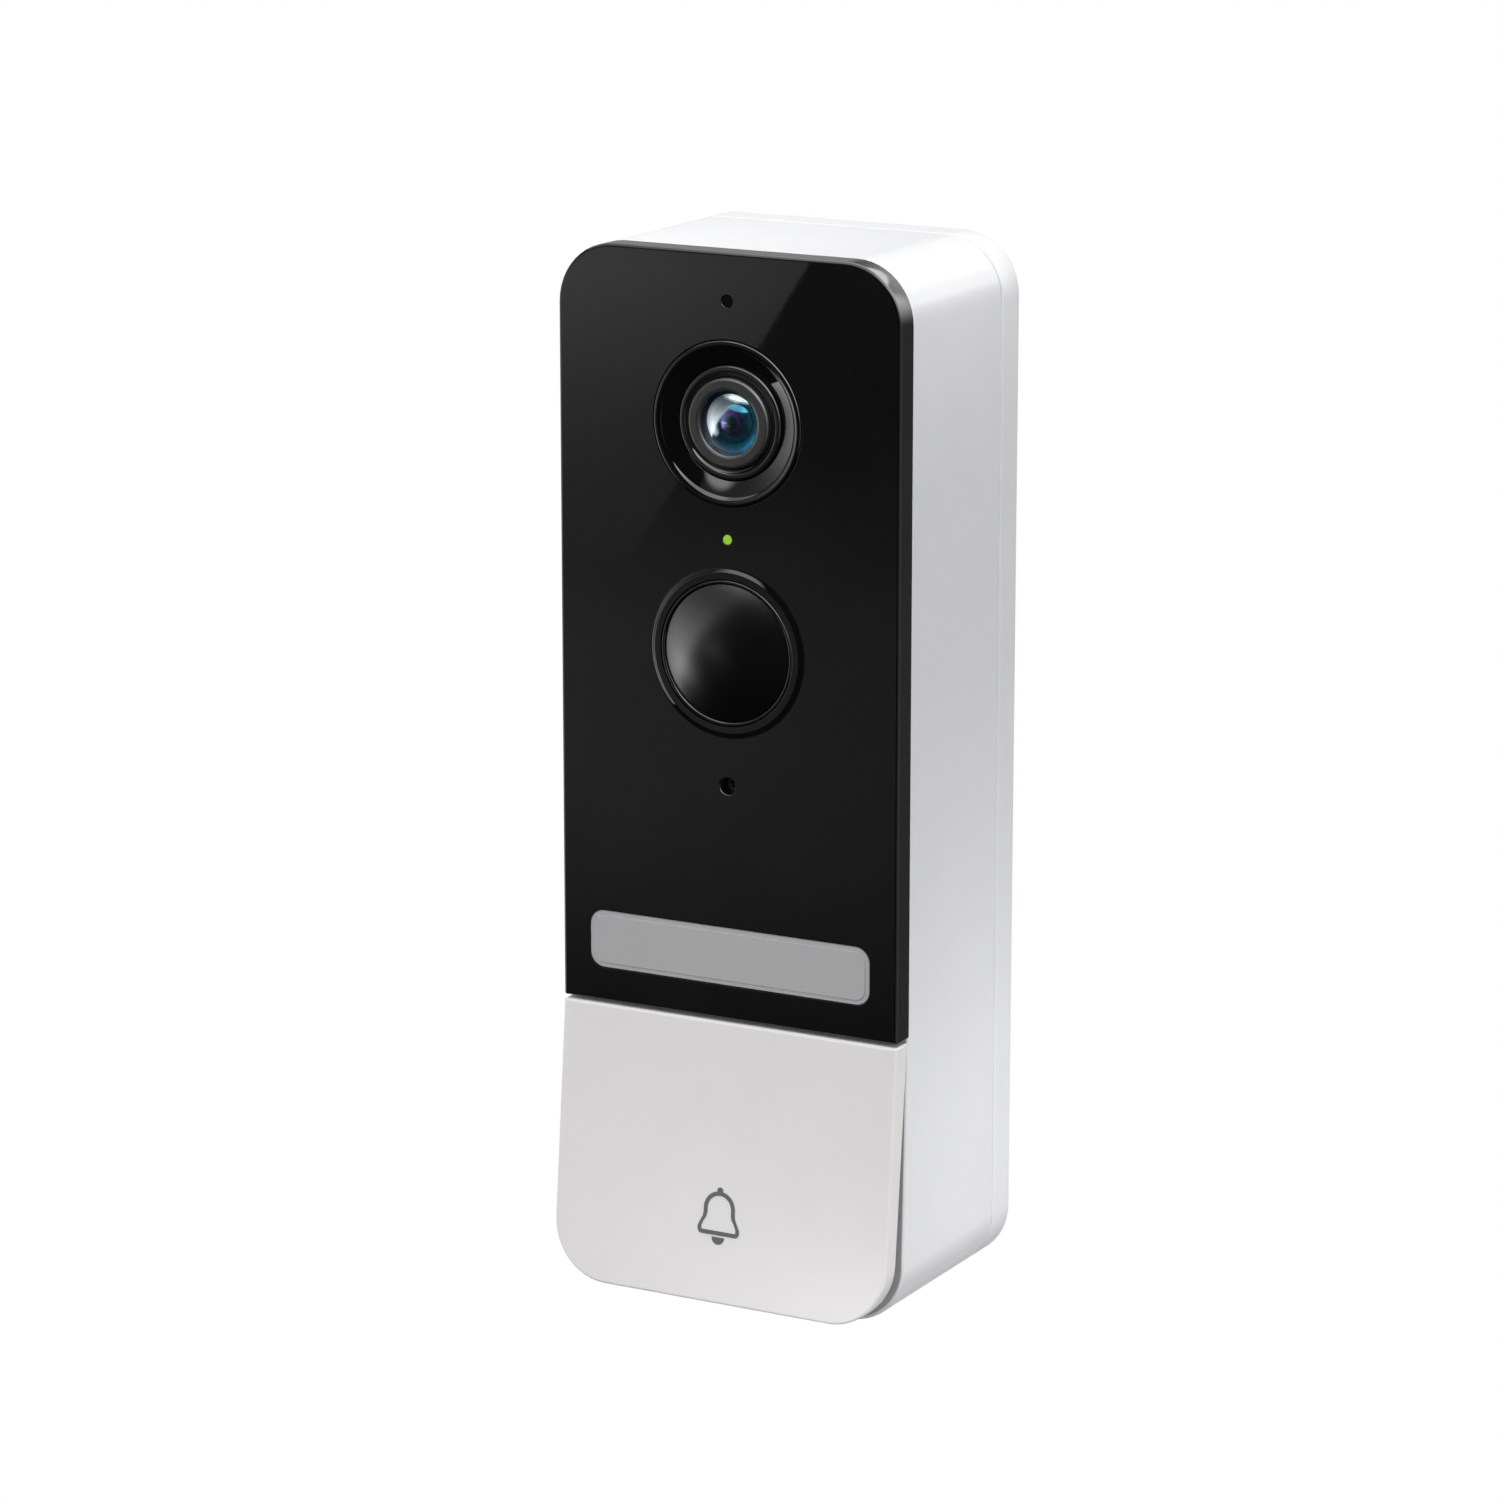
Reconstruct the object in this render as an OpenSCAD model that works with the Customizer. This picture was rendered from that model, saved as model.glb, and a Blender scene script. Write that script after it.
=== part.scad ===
// Battery video doorbell: a hook-on wall bracket, a sealed camera unit with a removable battery pack,
// and a rocking call button hinged along its top edge.
// Frame: origin on the wall plane at the middle of the bracket's back face. X is to the right seen from the
// street, Y points into the wall, Z is up. Millimetres.

/* [Body] */
// Overall width of the bracket, housing and front panel
body_w = 52.5; // [51:0.5:56]
// Overall height
body_h = 148; // [146:1:156]
// Distance from the wall to the face of the front panel
body_depth = 35.6; // [35:0.2:38]
// Radius of the four corners seen from the front
corner_r = 8.5; // [7.5:0.5:10]
// Thickness of the housing's side walls and front deck
wall = 2.0; // [1.8:0.1:2.2]

/* [Front panel and button] */
// Depth of the black front panel
panel_depth = 3.6; // [3.4:0.1:3.8]
// Height of the joint between panel and button, measured from the middle of the body
split_z = -33; // [-35:0.5:-32]
// Gap between the button's bottom edge and the bottom of the housing
button_bottom_gap = 1.2; // [0.8:0.1:1.5]
// Lean of the button's face where it meets the panel, in millimetres forward per millimetre down
button_lean = 0.07; // [0.05:0.01:0.08]
// Radius of the button's hollow face
button_arc_r = 625; // [550:25:800]

/* [Optics] */
// Height of the camera's axis above the middle of the body
camera_z = 50.8; // [50:0.2:51]
// Height of the motion sensor's axis above the middle of the body
pir_z = 19.2; // [18.6:0.2:19.6]
// Radius of the camera's bezel
bezel_r = 11.4; // [11:0.1:11.6]
// Radius of the front glass of the lens
glass_r = 4.4; // [4:0.1:4.6]
// Radius of the motion sensor's dome
dome_r = 9.5; // [9:0.1:9.6]

/* [Bracket] */
// Depth of the wall bracket's tray
bracket_depth = 5.2; // [5:0.1:5.4]
// Distance between the two wall screws
wall_screw_pitch = 90; // [80:2:96]
// Radius of the wall screw holes
wall_screw_r = 2.1; // [1.8:0.1:2.5]
// How far the unit is lifted to leave the bracket's hooks
lift_travel = 5; // [4.5:0.1:5]

/* [Hidden] */
$fn = 48;
eps = 0.02;
half_w = body_w / 2;
half_h = body_h / 2;
face_y = -body_depth;                 // front face of the black panel
deck_y = face_y + panel_depth;        // front face of the housing's deck
deck_back_y = deck_y + wall;
bracket_floor = 2;
pir_collar = 0.35;                    // how far the panel swells out round the motion sensor
rear_y = -bracket_depth - 0.3;        // back edge of the housing, one seam in front of the bracket
inner_w = body_w - 2 * wall;
inner_h = body_h - 2 * wall;
inner_r = corner_r - wall;

panel_skin = 2.2;                     // thickness of the panel's face
panel_rim = 1.4;                      // width of the wall round the panel's back
panel_bottom = split_z + 0.4;
skin_y = face_y + panel_skin;         // back of the panel's face

button_top = split_z - 0.1;
button_bottom = button_bottom_gap - half_h;
button_skin = 2.2;
button_rim = 1.6;
button_back_lean = 0.10;              // slope of the button's back edge
deck_lean = 0.03;                     // slope of the housing's front edge beside the button
button_back_gap = 0.25;               // between button and housing at the top
hinge_x = 17;                         // each hinge lug's distance from the middle
hinge_y = deck_y + 3.1;
hinge_z = split_z - 3;
pin_r = 1.0;
lug_r = 1.8;
lug_w = 2.8;
ear_w = 1.8;
switch_z = -61.5;
switch_back_y = deck_back_y + 1.6;    // front face of the small boards behind the deck
boot_tip_y = -34.2;

back_plate_t = 2.4;
plate_y = rear_y - back_plate_t;      // front face of the back plate
seal_t = 0.8;
hook_x = 11.5;
hook_w = 5;
hook_z = [58, -63.1];                 // top of each hook's foot
hook_foot = 2;
hook_lip = 3.2;
corner_screw = [19.3, 67];            // screws that hold the back plate

pcb_y = -17;                          // front face of the main board
pcb_t = 1.2;
pcb_bottom = 11.5;
pcb_screw = [[18.5, 15.5], [18.5, 47]];
small_board_t = 1.0;
front_board_z = [-31, 7];
front_board_screw = [[18.5, 3.5], [18.5, -15.5]];
button_board_screw = [9.5, -48.5];

bar_z = -23.7;                        // spotlight bar
bar_w = 44;
bar_h = 8.3;
bar_r = 2.2;
led_z = 34.9;                         // status light
dusk_z = 67.4;                        // ambient light sensor
mic_z = 0.5;

battery_w = 37.8;
battery_top = 9.1;
battery_bottom = -58.5;
battery_front_y = -25.6;
battery_back_y = rear_y - 0.2;
bay_wall = 1.0;
bay_gap = 0.2;

latch_w = 11;
latch_travel = 1.8;
reset_at = [-14.5, 18.5];
terminal_z = 31;

// ---------- shared shapes ----------

// Rectangle with true round corners, centred.
module round_rect(w, h, r) {
    square([w - 2 * r, h], center = true);
    square([w, h - 2 * r], center = true);
    for (x = [-1, 1], y = [-1, 1])
        translate([x * (w / 2 - r), y * (h / 2 - r)]) circle(r);
}

// The body's outline shrunk by inset on every side.
module outline(inset = 0) {
    round_rect(body_w - 2 * inset, body_h - 2 * inset, corner_r - inset);
}

// Extrudes a drawing in X and Z from y0 back to y1.
module along_y(y0, y1) {
    translate([0, y1, 0]) rotate([90, 0, 0]) linear_extrude(y1 - y0) children();
}

// Extrudes a drawing in Y and Z across the body from x0 to x1.
module along_x(x0, x1) {
    translate([x0, 0, 0]) rotate([90, 0, 90]) linear_extrude(x1 - x0) children();
}

// Cylinder along Y from y0 to y1.
module rod(r, y0, y1, at = [0, 0]) {
    translate([at[0], y1, at[1]]) rotate([90, 0, 0]) cylinder(r = r, h = y1 - y0);
}

// Turns a profile of [radius, y] points about an axis along Y at the height z.
module turned(z, points) {
    translate([0, 0, z]) rotate([90, 0, 0]) rotate_extrude()
        polygon([for (p = points) [p[0], -p[1]]]);
}

// Box given by its lowest and highest corners.
module block(low, high) {
    translate(low) cube(high - low);
}

// Repeats its children at x and -x.
module pair(x) {
    for (s = [-1, 1]) translate([s * x, 0, 0]) children();
}

// Four places, mirrored in X and Z.
module four(at) {
    for (x = [-1, 1], z = [-1, 1]) translate([x * at[0], 0, z * at[1]]) children();
}

// Coil spring along Z: a tube of wire swept round a helix.
module coil(r, wire_r, length, turns) {
    steps = 10;
    sides = 5;
    n = turns * steps;
    ring = [for (i = [0:n], k = [0:sides - 1])
        let (a = 360 * i / steps, b = 360 * k / sides, d = r + wire_r * cos(b))
        [d * cos(a), d * sin(a), wire_r + (length - 2 * wire_r) * i / n + wire_r * sin(b)]];
    side_faces = [for (i = [0:n - 1], k = [0:sides - 1], half = [0, 1])
        let (k2 = (k + 1) % sides, a = i * sides, b = (i + 1) * sides)
        half == 0 ? [a + k, b + k, b + k2] : [a + k, b + k2, a + k2]];
    polyhedron(ring, concat(side_faces,
        [[for (k = [0:sides - 1]) k], [for (k = [sides - 1:-1:0]) n * sides + k]]), convexity = 10);
}

function unit(v) = v / norm(v);
function normal(v) = [-v[1], v[0]];

// Point beside corner i of the line p, at the distance d from both of its runs.
function beside(p, i, d) =
    let (a = unit(i == 0 ? p[1] - p[0] : p[i] - p[i - 1]),
        b = unit(i == len(p) - 1 ? p[i] - p[i - 1] : p[i + 1] - p[i]),
        m = unit(normal(a) + normal(b)))
    p[i] + m * d / (m * normal(a));

// Strip of thickness t that follows a line of points.
module strip(p, t) {
    last = len(p) - 1;
    polygon(concat([for (i = [0:last]) beside(p, i, t / 2)], [for (i = [last:-1:0]) beside(p, i, -t / 2)]));
}

// ---------- wall bracket ----------

// One L-shaped hook that reaches through the back plate; z is the top of its foot.
module hook(z) {
    block([-hook_w / 2, plate_y - 1.3, z - hook_foot], [hook_w / 2, -1, z]);
    block([-hook_w / 2, plate_y - 1.3, z - hook_foot], [hook_w / 2, plate_y - 0.1, z + hook_lip]);
}

module wall_bracket() {
    color("whitesmoke") difference() {
        union() {
            along_y(-bracket_floor, 0) outline();
            pair(hook_x) for (z = hook_z) hook(z);
            for (x = [-1.8, 1.8]) rod(0.7, -3.2, -1, [x, -53]);
        }
        for (z = [-1, 1]) rod(wall_screw_r, -bracket_floor - 1, 1, [0, z * wall_screw_pitch / 2]);
        along_y(-bracket_floor - 1, 1) translate([0, 18]) round_rect(16, 12, 2);
    }
}

// The tray's wall, one moulding with the floor on the real thing; the release pin goes in from below.
module bracket_rim() {
    rim = 1.8;
    color("whitesmoke") difference() {
        along_y(-bracket_depth, -bracket_floor) outline();
        along_y(-bracket_depth - 1, 1) outline(rim);
        translate([0, -3.7, -half_h - 1]) cylinder(r = 1, h = rim + 2);
    }
}

// Spring steel leaf whose tip drops into the unit's back plate; a pin from below pushes it back.
module bracket_clip() {
    color("silver") difference() {
        along_x(-3.5, 3.5) strip([
            [-2.2, -50], [-2.2, -56], [-4.4, -65.4], [-6.6, -66.2], [-6.6, -66.9], [-4.6, -67.7], [-3.6, -70.6]
        ], 0.4);
        for (x = [-1.8, 1.8]) rod(0.75, -5, -1, [x, -53]);
    }
}

// ---------- housing ----------

// Solid region of the housing's outside, with the front edge leaning forward beside the button.
module housing_side() {
    along_x(-half_w - 1, half_w + 1) polygon([
        [rear_y, -half_h - 1], [rear_y, half_h + 1], [deck_y, half_h + 1], [deck_y, button_top],
        [deck_y - deck_lean * (half_h + button_top), -half_h],
        [deck_y - deck_lean * (half_h + button_top), -half_h - 1]
    ]);
}

module button_hinge_slots() {
    pair(hinge_x) block([-lug_w / 2 - 0.2, deck_y - 2, hinge_z - lug_r - 0.8],
        [lug_w / 2 + 0.2, deck_back_y + 1, hinge_z + lug_r + 0.4]);
}

module housing_openings() {
    front = deck_y - 2;
    back = deck_back_y + 1;
    rod(9.6, front, back, [0, camera_z]);
    rod(8.4, front, back, [0, pir_z]);
    rod(1.25, front, back, [0, led_z]);
    rod(1.35, front, back, [0, dusk_z]);
    rod(2.1, front, back, [0, mic_z]);
    along_y(front, back) translate([0, bar_z]) square([41.4, 7], center = true);
    rod(4.45, front, back, [0, switch_z]);
    button_hinge_slots();
    pair(14) block([-1.6, front, -69.8], [1.6, back, -66.6]);
}

// Keeps the deck behind the button flat, inside the leaning edge.
module button_recess() {
    along_y(deck_y - 4, deck_y) intersection() {
        outline(wall);
        translate([-half_w, -half_h]) square([body_w, half_h + button_top]);
    }
}

module speaker_slots() {
    for (x = [-10:4:10]) translate([x, -18.5, -half_h - 1])
        linear_extrude(wall + 2) round_rect(1.6, 12, 0.7);
}

// Post on the back of the deck with a blind pilot hole for a screw.
module post(at, y_end, r = 2.3) {
    difference() {
        rod(r, deck_back_y - eps, y_end, at);
        rod(0.8, y_end - 6, y_end + 1, at);
    }
}

module housing_posts() {
    four(corner_screw) post([0, 0], plate_y, 2.6);
    pair(pcb_screw[0][0]) for (p = pcb_screw) post([0, p[1]], pcb_y);
    pair(front_board_screw[0][0]) for (p = front_board_screw)
        rod(2.2, deck_back_y - eps, switch_back_y, [0, p[1]]);
    pair(button_board_screw[0]) rod(2.2, deck_back_y - eps, switch_back_y, [0, button_board_screw[1]]);
}

module hinge_ears() {
    pair(hinge_x) for (s = [-1, 1])
        translate([s * (lug_w / 2 + 0.2 + ear_w / 2), 0, 0]) difference() {
            block([-ear_w / 2, deck_back_y - eps, hinge_z - 2], [ear_w / 2, hinge_y + lug_r, hinge_z + 2]);
            translate([-ear_w, hinge_y, hinge_z]) rotate([0, 90, 0]) cylinder(r = pin_r, h = 2 * ear_w);
        }
}

// Ledge inside the back edge that the rubber seal lies on.
module seal_ledge() {
    along_y(plate_y - seal_t - 1, plate_y - seal_t) difference() {
        outline(wall - 0.1);
        outline(wall + 1.6);
    }
}

module main_housing() {
    color("gainsboro") union() {
        difference() {
            intersection() {
                along_y(deck_y - 4, rear_y) outline();
                housing_side();
            }
            along_y(deck_back_y, rear_y + 1) outline(wall);
            button_recess();
            housing_openings();
            speaker_slots();
        }
        housing_posts();
        hinge_ears();
        seal_ledge();
    }
}

module hook_windows() {
    for (z = hook_z) pair(hook_x)
        block([-hook_w / 2 - 0.3, plate_y - 1, z - hook_foot - lift_travel - 0.2],
            [hook_w / 2 + 0.3, rear_y + 1, z + 0.1]);
}

module back_plate() {
    latch_slot_w = 3.4;
    color("gainsboro") difference() {
        union() {
            along_y(plate_y, rear_y) outline(wall + 0.15);
            block([-2, plate_y - 2.6, 20.9], [2, plate_y + eps, 21.9]);
        }
        block([-battery_w / 2 - 0.15, plate_y - 1, battery_bottom - 0.2],
            [battery_w / 2 + 0.15, rear_y + 1, battery_top + 0.2]);
        hook_windows();
        four(corner_screw) {
            rod(1.1, plate_y - 1, rear_y + 1);
            rod(2.1, rear_y - 1.2, rear_y + 1);
        }
        block([-latch_w / 2 - 0.3, rear_y - 1.5, battery_top], [latch_w / 2 + 0.3, rear_y + 1, 19.3]);
        block([-latch_slot_w / 2, plate_y - 1, 11.5], [latch_slot_w / 2, rear_y + 1, 17.2]);
        rod(2.05, plate_y - 1, rear_y + 1, reset_at);
        block([-11.15, plate_y - 1, terminal_z - 6.15], [11.15, rear_y + 1, terminal_z + 6.15]);
        block([-4, rear_y - 1.6, -68.1], [4, rear_y + 1, -65.3]);
    }
}

module back_plate_screws() {
    color("silver") four(corner_screw) {
        rod(2.0, rear_y - 1.2, rear_y - 0.1);
        rod(0.8, plate_y - 5, rear_y - 1.2 + eps);
    }
}

module rear_seal() {
    color("dimgray") along_y(plate_y - seal_t, plate_y) difference() {
        outline(wall + 0.1);
        outline(wall + 1.5);
        for (x = [-1, 1], z = [-1, 1])
            translate([x * corner_screw[0], z * corner_screw[1]]) circle(2.7);
    }
}

// ---------- front panel ----------

module panel_outline(inset) {
    intersection() {
        outline(inset);
        translate([-half_w, panel_bottom + inset]) square([body_w, half_h - panel_bottom]);
    }
}

module front_panel() {
    collar_r = dome_r + 2.5;
    color([0.03, 0.03, 0.03]) difference() {
        union() {
            difference() {
                along_y(face_y, deck_y) panel_outline(0);
                along_y(skin_y, deck_y + 1) panel_outline(panel_rim);
            }
            turned(pir_z, [[dome_r - 1, face_y + 1], [collar_r, face_y + 1], [collar_r, face_y + 0.1],
                [collar_r - 1.1, face_y - pir_collar], [dome_r - 1, face_y - pir_collar]]);
        }
        rod(bezel_r, face_y - 1, deck_y, [0, camera_z]);
        rod(dome_r + 0.7, face_y - 1, deck_y, [0, pir_z]);
        rod(0.7, face_y - 1, deck_y, [0, led_z]);
        rod(0.85, face_y - 1, deck_y, [0, dusk_z]);
        rod(0.9, face_y - 1, deck_y, [0, mic_z]);
        turned(mic_z, [[0, face_y - 0.1], [1.4, face_y - 0.1], [0.9, face_y + 0.4], [0, face_y + 0.4]]);
        along_y(face_y - 1, deck_y) translate([0, bar_z]) round_rect(bar_w, bar_h, bar_r);
    }
}

// Foam tape that holds the panel to the deck, cut round everything that passes through it.
module panel_adhesive() {
    color("black") along_y(skin_y, deck_y) difference() {
        panel_outline(panel_rim + 0.2);
        panel_outline(panel_rim + 2.6);
        translate([0, bar_z]) square([bar_w + 2.4, bar_h + 2.4], center = true);
    }
}

// ---------- camera ----------

module camera_bezel() {
    r = bezel_r - 0.05;
    color("black") turned(camera_z, [
        [8, deck_y], [12.6, deck_y], [12.6, skin_y], [r, skin_y], [r, face_y], [r - 0.3, face_y - 0.25],
        [r - 0.9, face_y - 0.25], [r - 1.2, face_y], [8, face_y + 0.95]
    ]);
}

module lens_barrel() {
    front = face_y + 0.6;
    iris_y = face_y + 2.9;
    color([0.1, 0.1, 0.1]) turned(camera_z, [
        [7.1, front], [7.6, front], [7.85, front + 0.25], [7.85, -31.2], [6, -30.4], [6, -22.6],
        [3.6, -22.6], [3.6, iris_y + 0.5], [2.5, iris_y + 0.5], [2.5, iris_y], [6.25, iris_y],
        [6.25, front + 0.5]
    ]);
}

module lens_ring() {
    front = face_y + 0.05;
    color([0.2, 0.2, 0.2]) turned(camera_z, [
        [glass_r + 0.3, front], [5.95, front], [6.2, front + 0.3], [6.2, face_y + 2.85],
        [glass_r - 0.6, face_y + 2.85], [glass_r - 0.6, face_y + 2.2], [glass_r, face_y + 2.2],
        [glass_r, front + 0.3]
    ]);
}

module lens_front_glass() {
    apex_y = face_y - 0.25;
    back_y = face_y + 2.15;
    sphere_r = 8.5;
    color([0.3, 0.5, 0.6, 0.5]) intersection() {
        translate([0, apex_y + sphere_r, camera_z]) sphere(sphere_r, $fn = 96);
        rod(glass_r - 0.03, apex_y - 1, back_y, [0, camera_z]);
    }
}

module lens_inner_glass() {
    color([0.3, 0.3, 0.6, 0.5]) {
        for (y = [-31.2, -27.6, -24.6])
            intersection() {
                rod(3.55, y - 1.6, y, [0, camera_z]);
                translate([0, y + 5, camera_z]) sphere(6.4, $fn = 96);
            }
    }
}

module lens_holder() {
    base_w = 24;
    base_h = 16;
    slot_w = 19.4;
    color("dimgray") difference() {
        union() {
            block([-base_w / 2, -22.4, camera_z - base_h / 2], [base_w / 2, pcb_y, camera_z + base_h / 2]);
            rod(7.3, -29, -22.4 + eps, [0, camera_z]);
        }
        rod(6.03, -30, -22.4, [0, camera_z]);
        rod(3.5, -23, pcb_y + 1, [0, camera_z]);
        block([-slot_w / 2, -21.4, camera_z - 4.3], [slot_w / 2, -20.4, camera_z + 4.3]);
        block([-5, -19.4, camera_z - 4.5], [5, pcb_y + 1, camera_z + 4.5]);
    }
}

module ir_led_ring() {
    color("darkgreen") turned(camera_z, [[9.65, deck_back_y], [13.5, deck_back_y],
        [13.5, deck_back_y + 0.8], [9.65, deck_back_y + 0.8]]);
}

module ir_leds() {
    color("dimgray") for (a = [30:60:330])
        translate([11.8 * cos(a), 0, camera_z + 11.8 * sin(a)])
            block([-1.1, deck_back_y + 0.8, -1.1], [1.1, deck_back_y + 1.7, 1.1]);
}

ir_cut_rest_x = -3;

module ir_cut_windows(y0, y1, size) {
    for (s = [-1, 1]) translate([ir_cut_rest_x + 3 * s, 0, camera_z])
        block([-size / 2, y0, -size / 2], [size / 2, y1, size / 2]);
}

module ir_cut_frame() {
    color("black") difference() {
        translate([ir_cut_rest_x, 0, camera_z]) block([-6.2, -21.2, -4], [6.2, -20.6, 4]);
        ir_cut_windows(-22, -20, 5.2);
    }
}

module ir_cut_filters() {
    color([0.5, 0.8, 0.8, 0.5]) ir_cut_windows(-21.05, -20.75, 5.2);
}

module ir_cut_motor() {
    color("goldenrod") {
        block([-15.8, -21.2, camera_z - 2.6], [-12.1, pcb_y, camera_z + 2.6]);
        translate([-13.95, -20.2, camera_z - 4.4]) cylinder(r = 1.2, h = 1.7);
    }
}

module image_sensor() {
    color("darkslategray") block([-4.5, pcb_y - 1.3, camera_z - 3.8], [4.5, pcb_y, camera_z + 3.8]);
}

// ---------- motion sensor ----------

module pir_bezel() {
    inner = dome_r + 0.12;
    outer = dome_r + 0.65;
    front = face_y - pir_collar;
    color("black") turned(pir_z, [
        [inner, front + 0.15], [inner + 0.12, front], [outer - 0.12, front], [outer, front + 0.15],
        [outer, skin_y + 0.05], [11.8, skin_y + 0.05], [11.8, deck_y - 0.75], [inner, deck_y - 0.75]
    ]);
}

module pir_lens() {
    bulge = 2;
    base_y = face_y + 0.2 - pir_collar;
    sphere_r = (dome_r * dome_r + bulge * bulge) / (2 * bulge);
    center_y = base_y - bulge + sphere_r;
    color([0.05, 0.05, 0.05]) difference() {
        union() {
            intersection() {
                translate([0, center_y, pir_z]) sphere(sphere_r, $fn = 120);
                rod(dome_r, base_y - bulge - 1, deck_y, [0, pir_z]);
            }
            rod(11.2, deck_y - 0.7, deck_y, [0, pir_z]);
        }
        intersection() {
            translate([0, center_y, pir_z]) sphere(sphere_r - 0.8, $fn = 120);
            rod(dome_r - 0.9, base_y - bulge - 1, deck_y + 1, [0, pir_z]);
        }
    }
}

module pir_sensor() {
    color("silver") difference() {
        union() {
            rod(4.1, -26.5, -22.3, [0, pir_z]);
            rod(4.6, -22.9, -22.3, [0, pir_z]);
        }
        block([-2.2, -27, pir_z - 1.8], [2.2, -26, pir_z + 1.8]);
    }
}

module pir_window() {
    color("black") block([-2.2, -26.4, pir_z - 1.8], [2.2, -26, pir_z + 1.8]);
}

module pir_holder() {
    color("dimgray") difference() {
        rod(5.4, -22.3, pcb_y, [0, pir_z]);
        rod(3.2, -21.3, pcb_y + 1, [0, pir_z]);
    }
}

// ---------- small front parts ----------

// Clear rod that carries light between the face and the main board.
module light_pipe(tip_r, body_r, z) {
    rod(tip_r, face_y + 0.05, deck_y + eps, [0, z]);
    rod(body_r, deck_y, pcb_y - 0.8, [0, z]);
}

module status_light_pipe() {
    color("limegreen") light_pipe(0.65, 1.1, led_z);
}

module status_led() {
    color("khaki") block([-0.8, pcb_y - 0.7, led_z - 0.4], [0.8, pcb_y, led_z + 0.4]);
}

module ambient_light_pipe() {
    color("dimgray") light_pipe(0.8, 1.2, dusk_z);
}

module ambient_light_sensor() {
    color("dimgray") block([-1, pcb_y - 0.7, dusk_z - 1], [1, pcb_y, dusk_z + 1]);
}

module microphone_boot() {
    color("black") turned(mic_z, [
        [0.6, skin_y], [3, skin_y], [3, deck_y], [2.05, deck_y], [2.05, switch_back_y - 1.1],
        [0.6, switch_back_y - 1.1]
    ]);
}

module microphone() {
    color("silver") block([-1.9, switch_back_y - 1.1, mic_z - 1.5], [1.9, switch_back_y, mic_z + 1.5]);
}

// ---------- spotlight bar ----------

module spotlight_diffuser() {
    fit = 0.05;
    border = 0.7;
    color("darkgray") translate([0, 0, bar_z]) {
        along_y(face_y, face_y + 0.2) round_rect(bar_w - 2 * border, bar_h - 2 * border, bar_r - border);
        along_y(face_y + 0.2 - eps, skin_y) round_rect(bar_w - 2 * fit, bar_h - 2 * fit, bar_r - fit);
        along_y(skin_y, deck_y) round_rect(bar_w + 2, bar_h + 2, bar_r + 1);
    }
}

module spotlight_reflector() {
    color("white") along_y(deck_y, switch_back_y - 0.8) translate([0, bar_z]) difference() {
        square([41, 6.6], center = true);
        square([39, 4.8], center = true);
    }
}

module spotlight_leds() {
    color("khaki") for (x = [-17.5:7:17.5])
        block([x - 1.75, switch_back_y - 0.7, bar_z - 1.4], [x + 1.75, switch_back_y, bar_z + 1.4]);
}

module front_board() {
    color("darkgreen") difference() {
        block([-21, switch_back_y, front_board_z[0]], [21, switch_back_y + small_board_t, front_board_z[1]]);
        for (p = front_board_screw, s = [-1, 1])
            rod(1.0, switch_back_y - 1, switch_back_y + 2, [s * p[0], p[1]]);
    }
}

// ---------- button ----------

// Cylinder across the body whose wall is the button's hollow face, grown by extra.
module face_cylinder(extra = 0) {
    slope = atan(button_lean);
    translate([-half_w - 2, face_y - button_arc_r * cos(slope), button_top + button_arc_r * sin(slope)])
        rotate([0, 90, 0]) cylinder(r = button_arc_r + extra, h = body_w + 4, $fn = 720);
}

// Everything in front of the button's sloping back edge.
module button_side() {
    drop = half_h + button_top;
    back_y = deck_y - button_back_gap;
    along_x(-half_w - 1, half_w + 1) polygon([
        [back_y, button_top], [face_y - 8, button_top], [face_y - 8, -half_h],
        [back_y - button_back_lean * drop, -half_h]
    ]);
}

module button_solid(inset) {
    intersection() {
        along_y(face_y - 8, deck_y) intersection() {
            translate([0, button_bottom_gap]) outline(inset);
            translate([-half_w, button_bottom + inset]) square([body_w, button_top - button_bottom - 2 * inset]);
        }
        children();
    }
}

module button_lug() {
    difference() {
        union() {
            translate([-lug_w / 2, hinge_y, hinge_z]) rotate([0, 90, 0]) cylinder(r = lug_r, h = lug_w);
            block([-lug_w / 2, face_y + 1, hinge_z - lug_r], [lug_w / 2, hinge_y, hinge_z + lug_r - 0.6]);
        }
        translate([-lug_w, hinge_y, hinge_z]) rotate([0, 90, 0]) cylinder(r = pin_r + 0.05, h = 2 * lug_w);
    }
}

// Arm with a barb that keeps the button from swinging out past its rest.
module button_stop() {
    block([-1.3, face_y - 1.5, -69], [1.3, deck_back_y + 1.2, -67.2]);
    block([-1.3, deck_back_y + 0.15, -67.2 - eps], [1.3, deck_back_y + 1.2, -65.7]);
}

module button_cover() {
    post_tip_y = boot_tip_y - 0.05;
    color("whitesmoke") difference() {
        union() {
            difference() {
                button_solid(0) button_side();
                difference() {
                    button_solid(button_rim) translate([0, 5, 0]) button_side();
                    face_cylinder(button_skin);
                }
            }
            pair(hinge_x) button_lug();
            pair(14) button_stop();
            rod(2.4, face_y - 1.5, post_tip_y, [0, switch_z]);
            pair(12) rod(1.1, face_y - 1, deck_y - 1.8, [0, -52]);
        }
        face_cylinder();
    }
}

// Outline of a plain hand bell: dome, flared skirt and a flat lip, grown by g.
module bell_shape(g = 0) {
    side = [
        [2.37 + g, 2.2], [2.38 + g, 1.4], [2.5 + 0.95 * g, 0.8], [2.85 + 0.85 * g, 0.15], [3.18 + 0.9 * g, -0.55],
        [3.2 + g, -1.05], [2.98 + 0.71 * g, -1.45 - 0.8 * g], [2.75 + 0.5 * g, -1.55 - g]
    ];
    translate([0, 2.1]) circle(2.37 + g);
    polygon([for (p = side) p, for (i = [len(side) - 1:-1:0]) [-side[i][0], side[i][1]]]);
}

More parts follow.
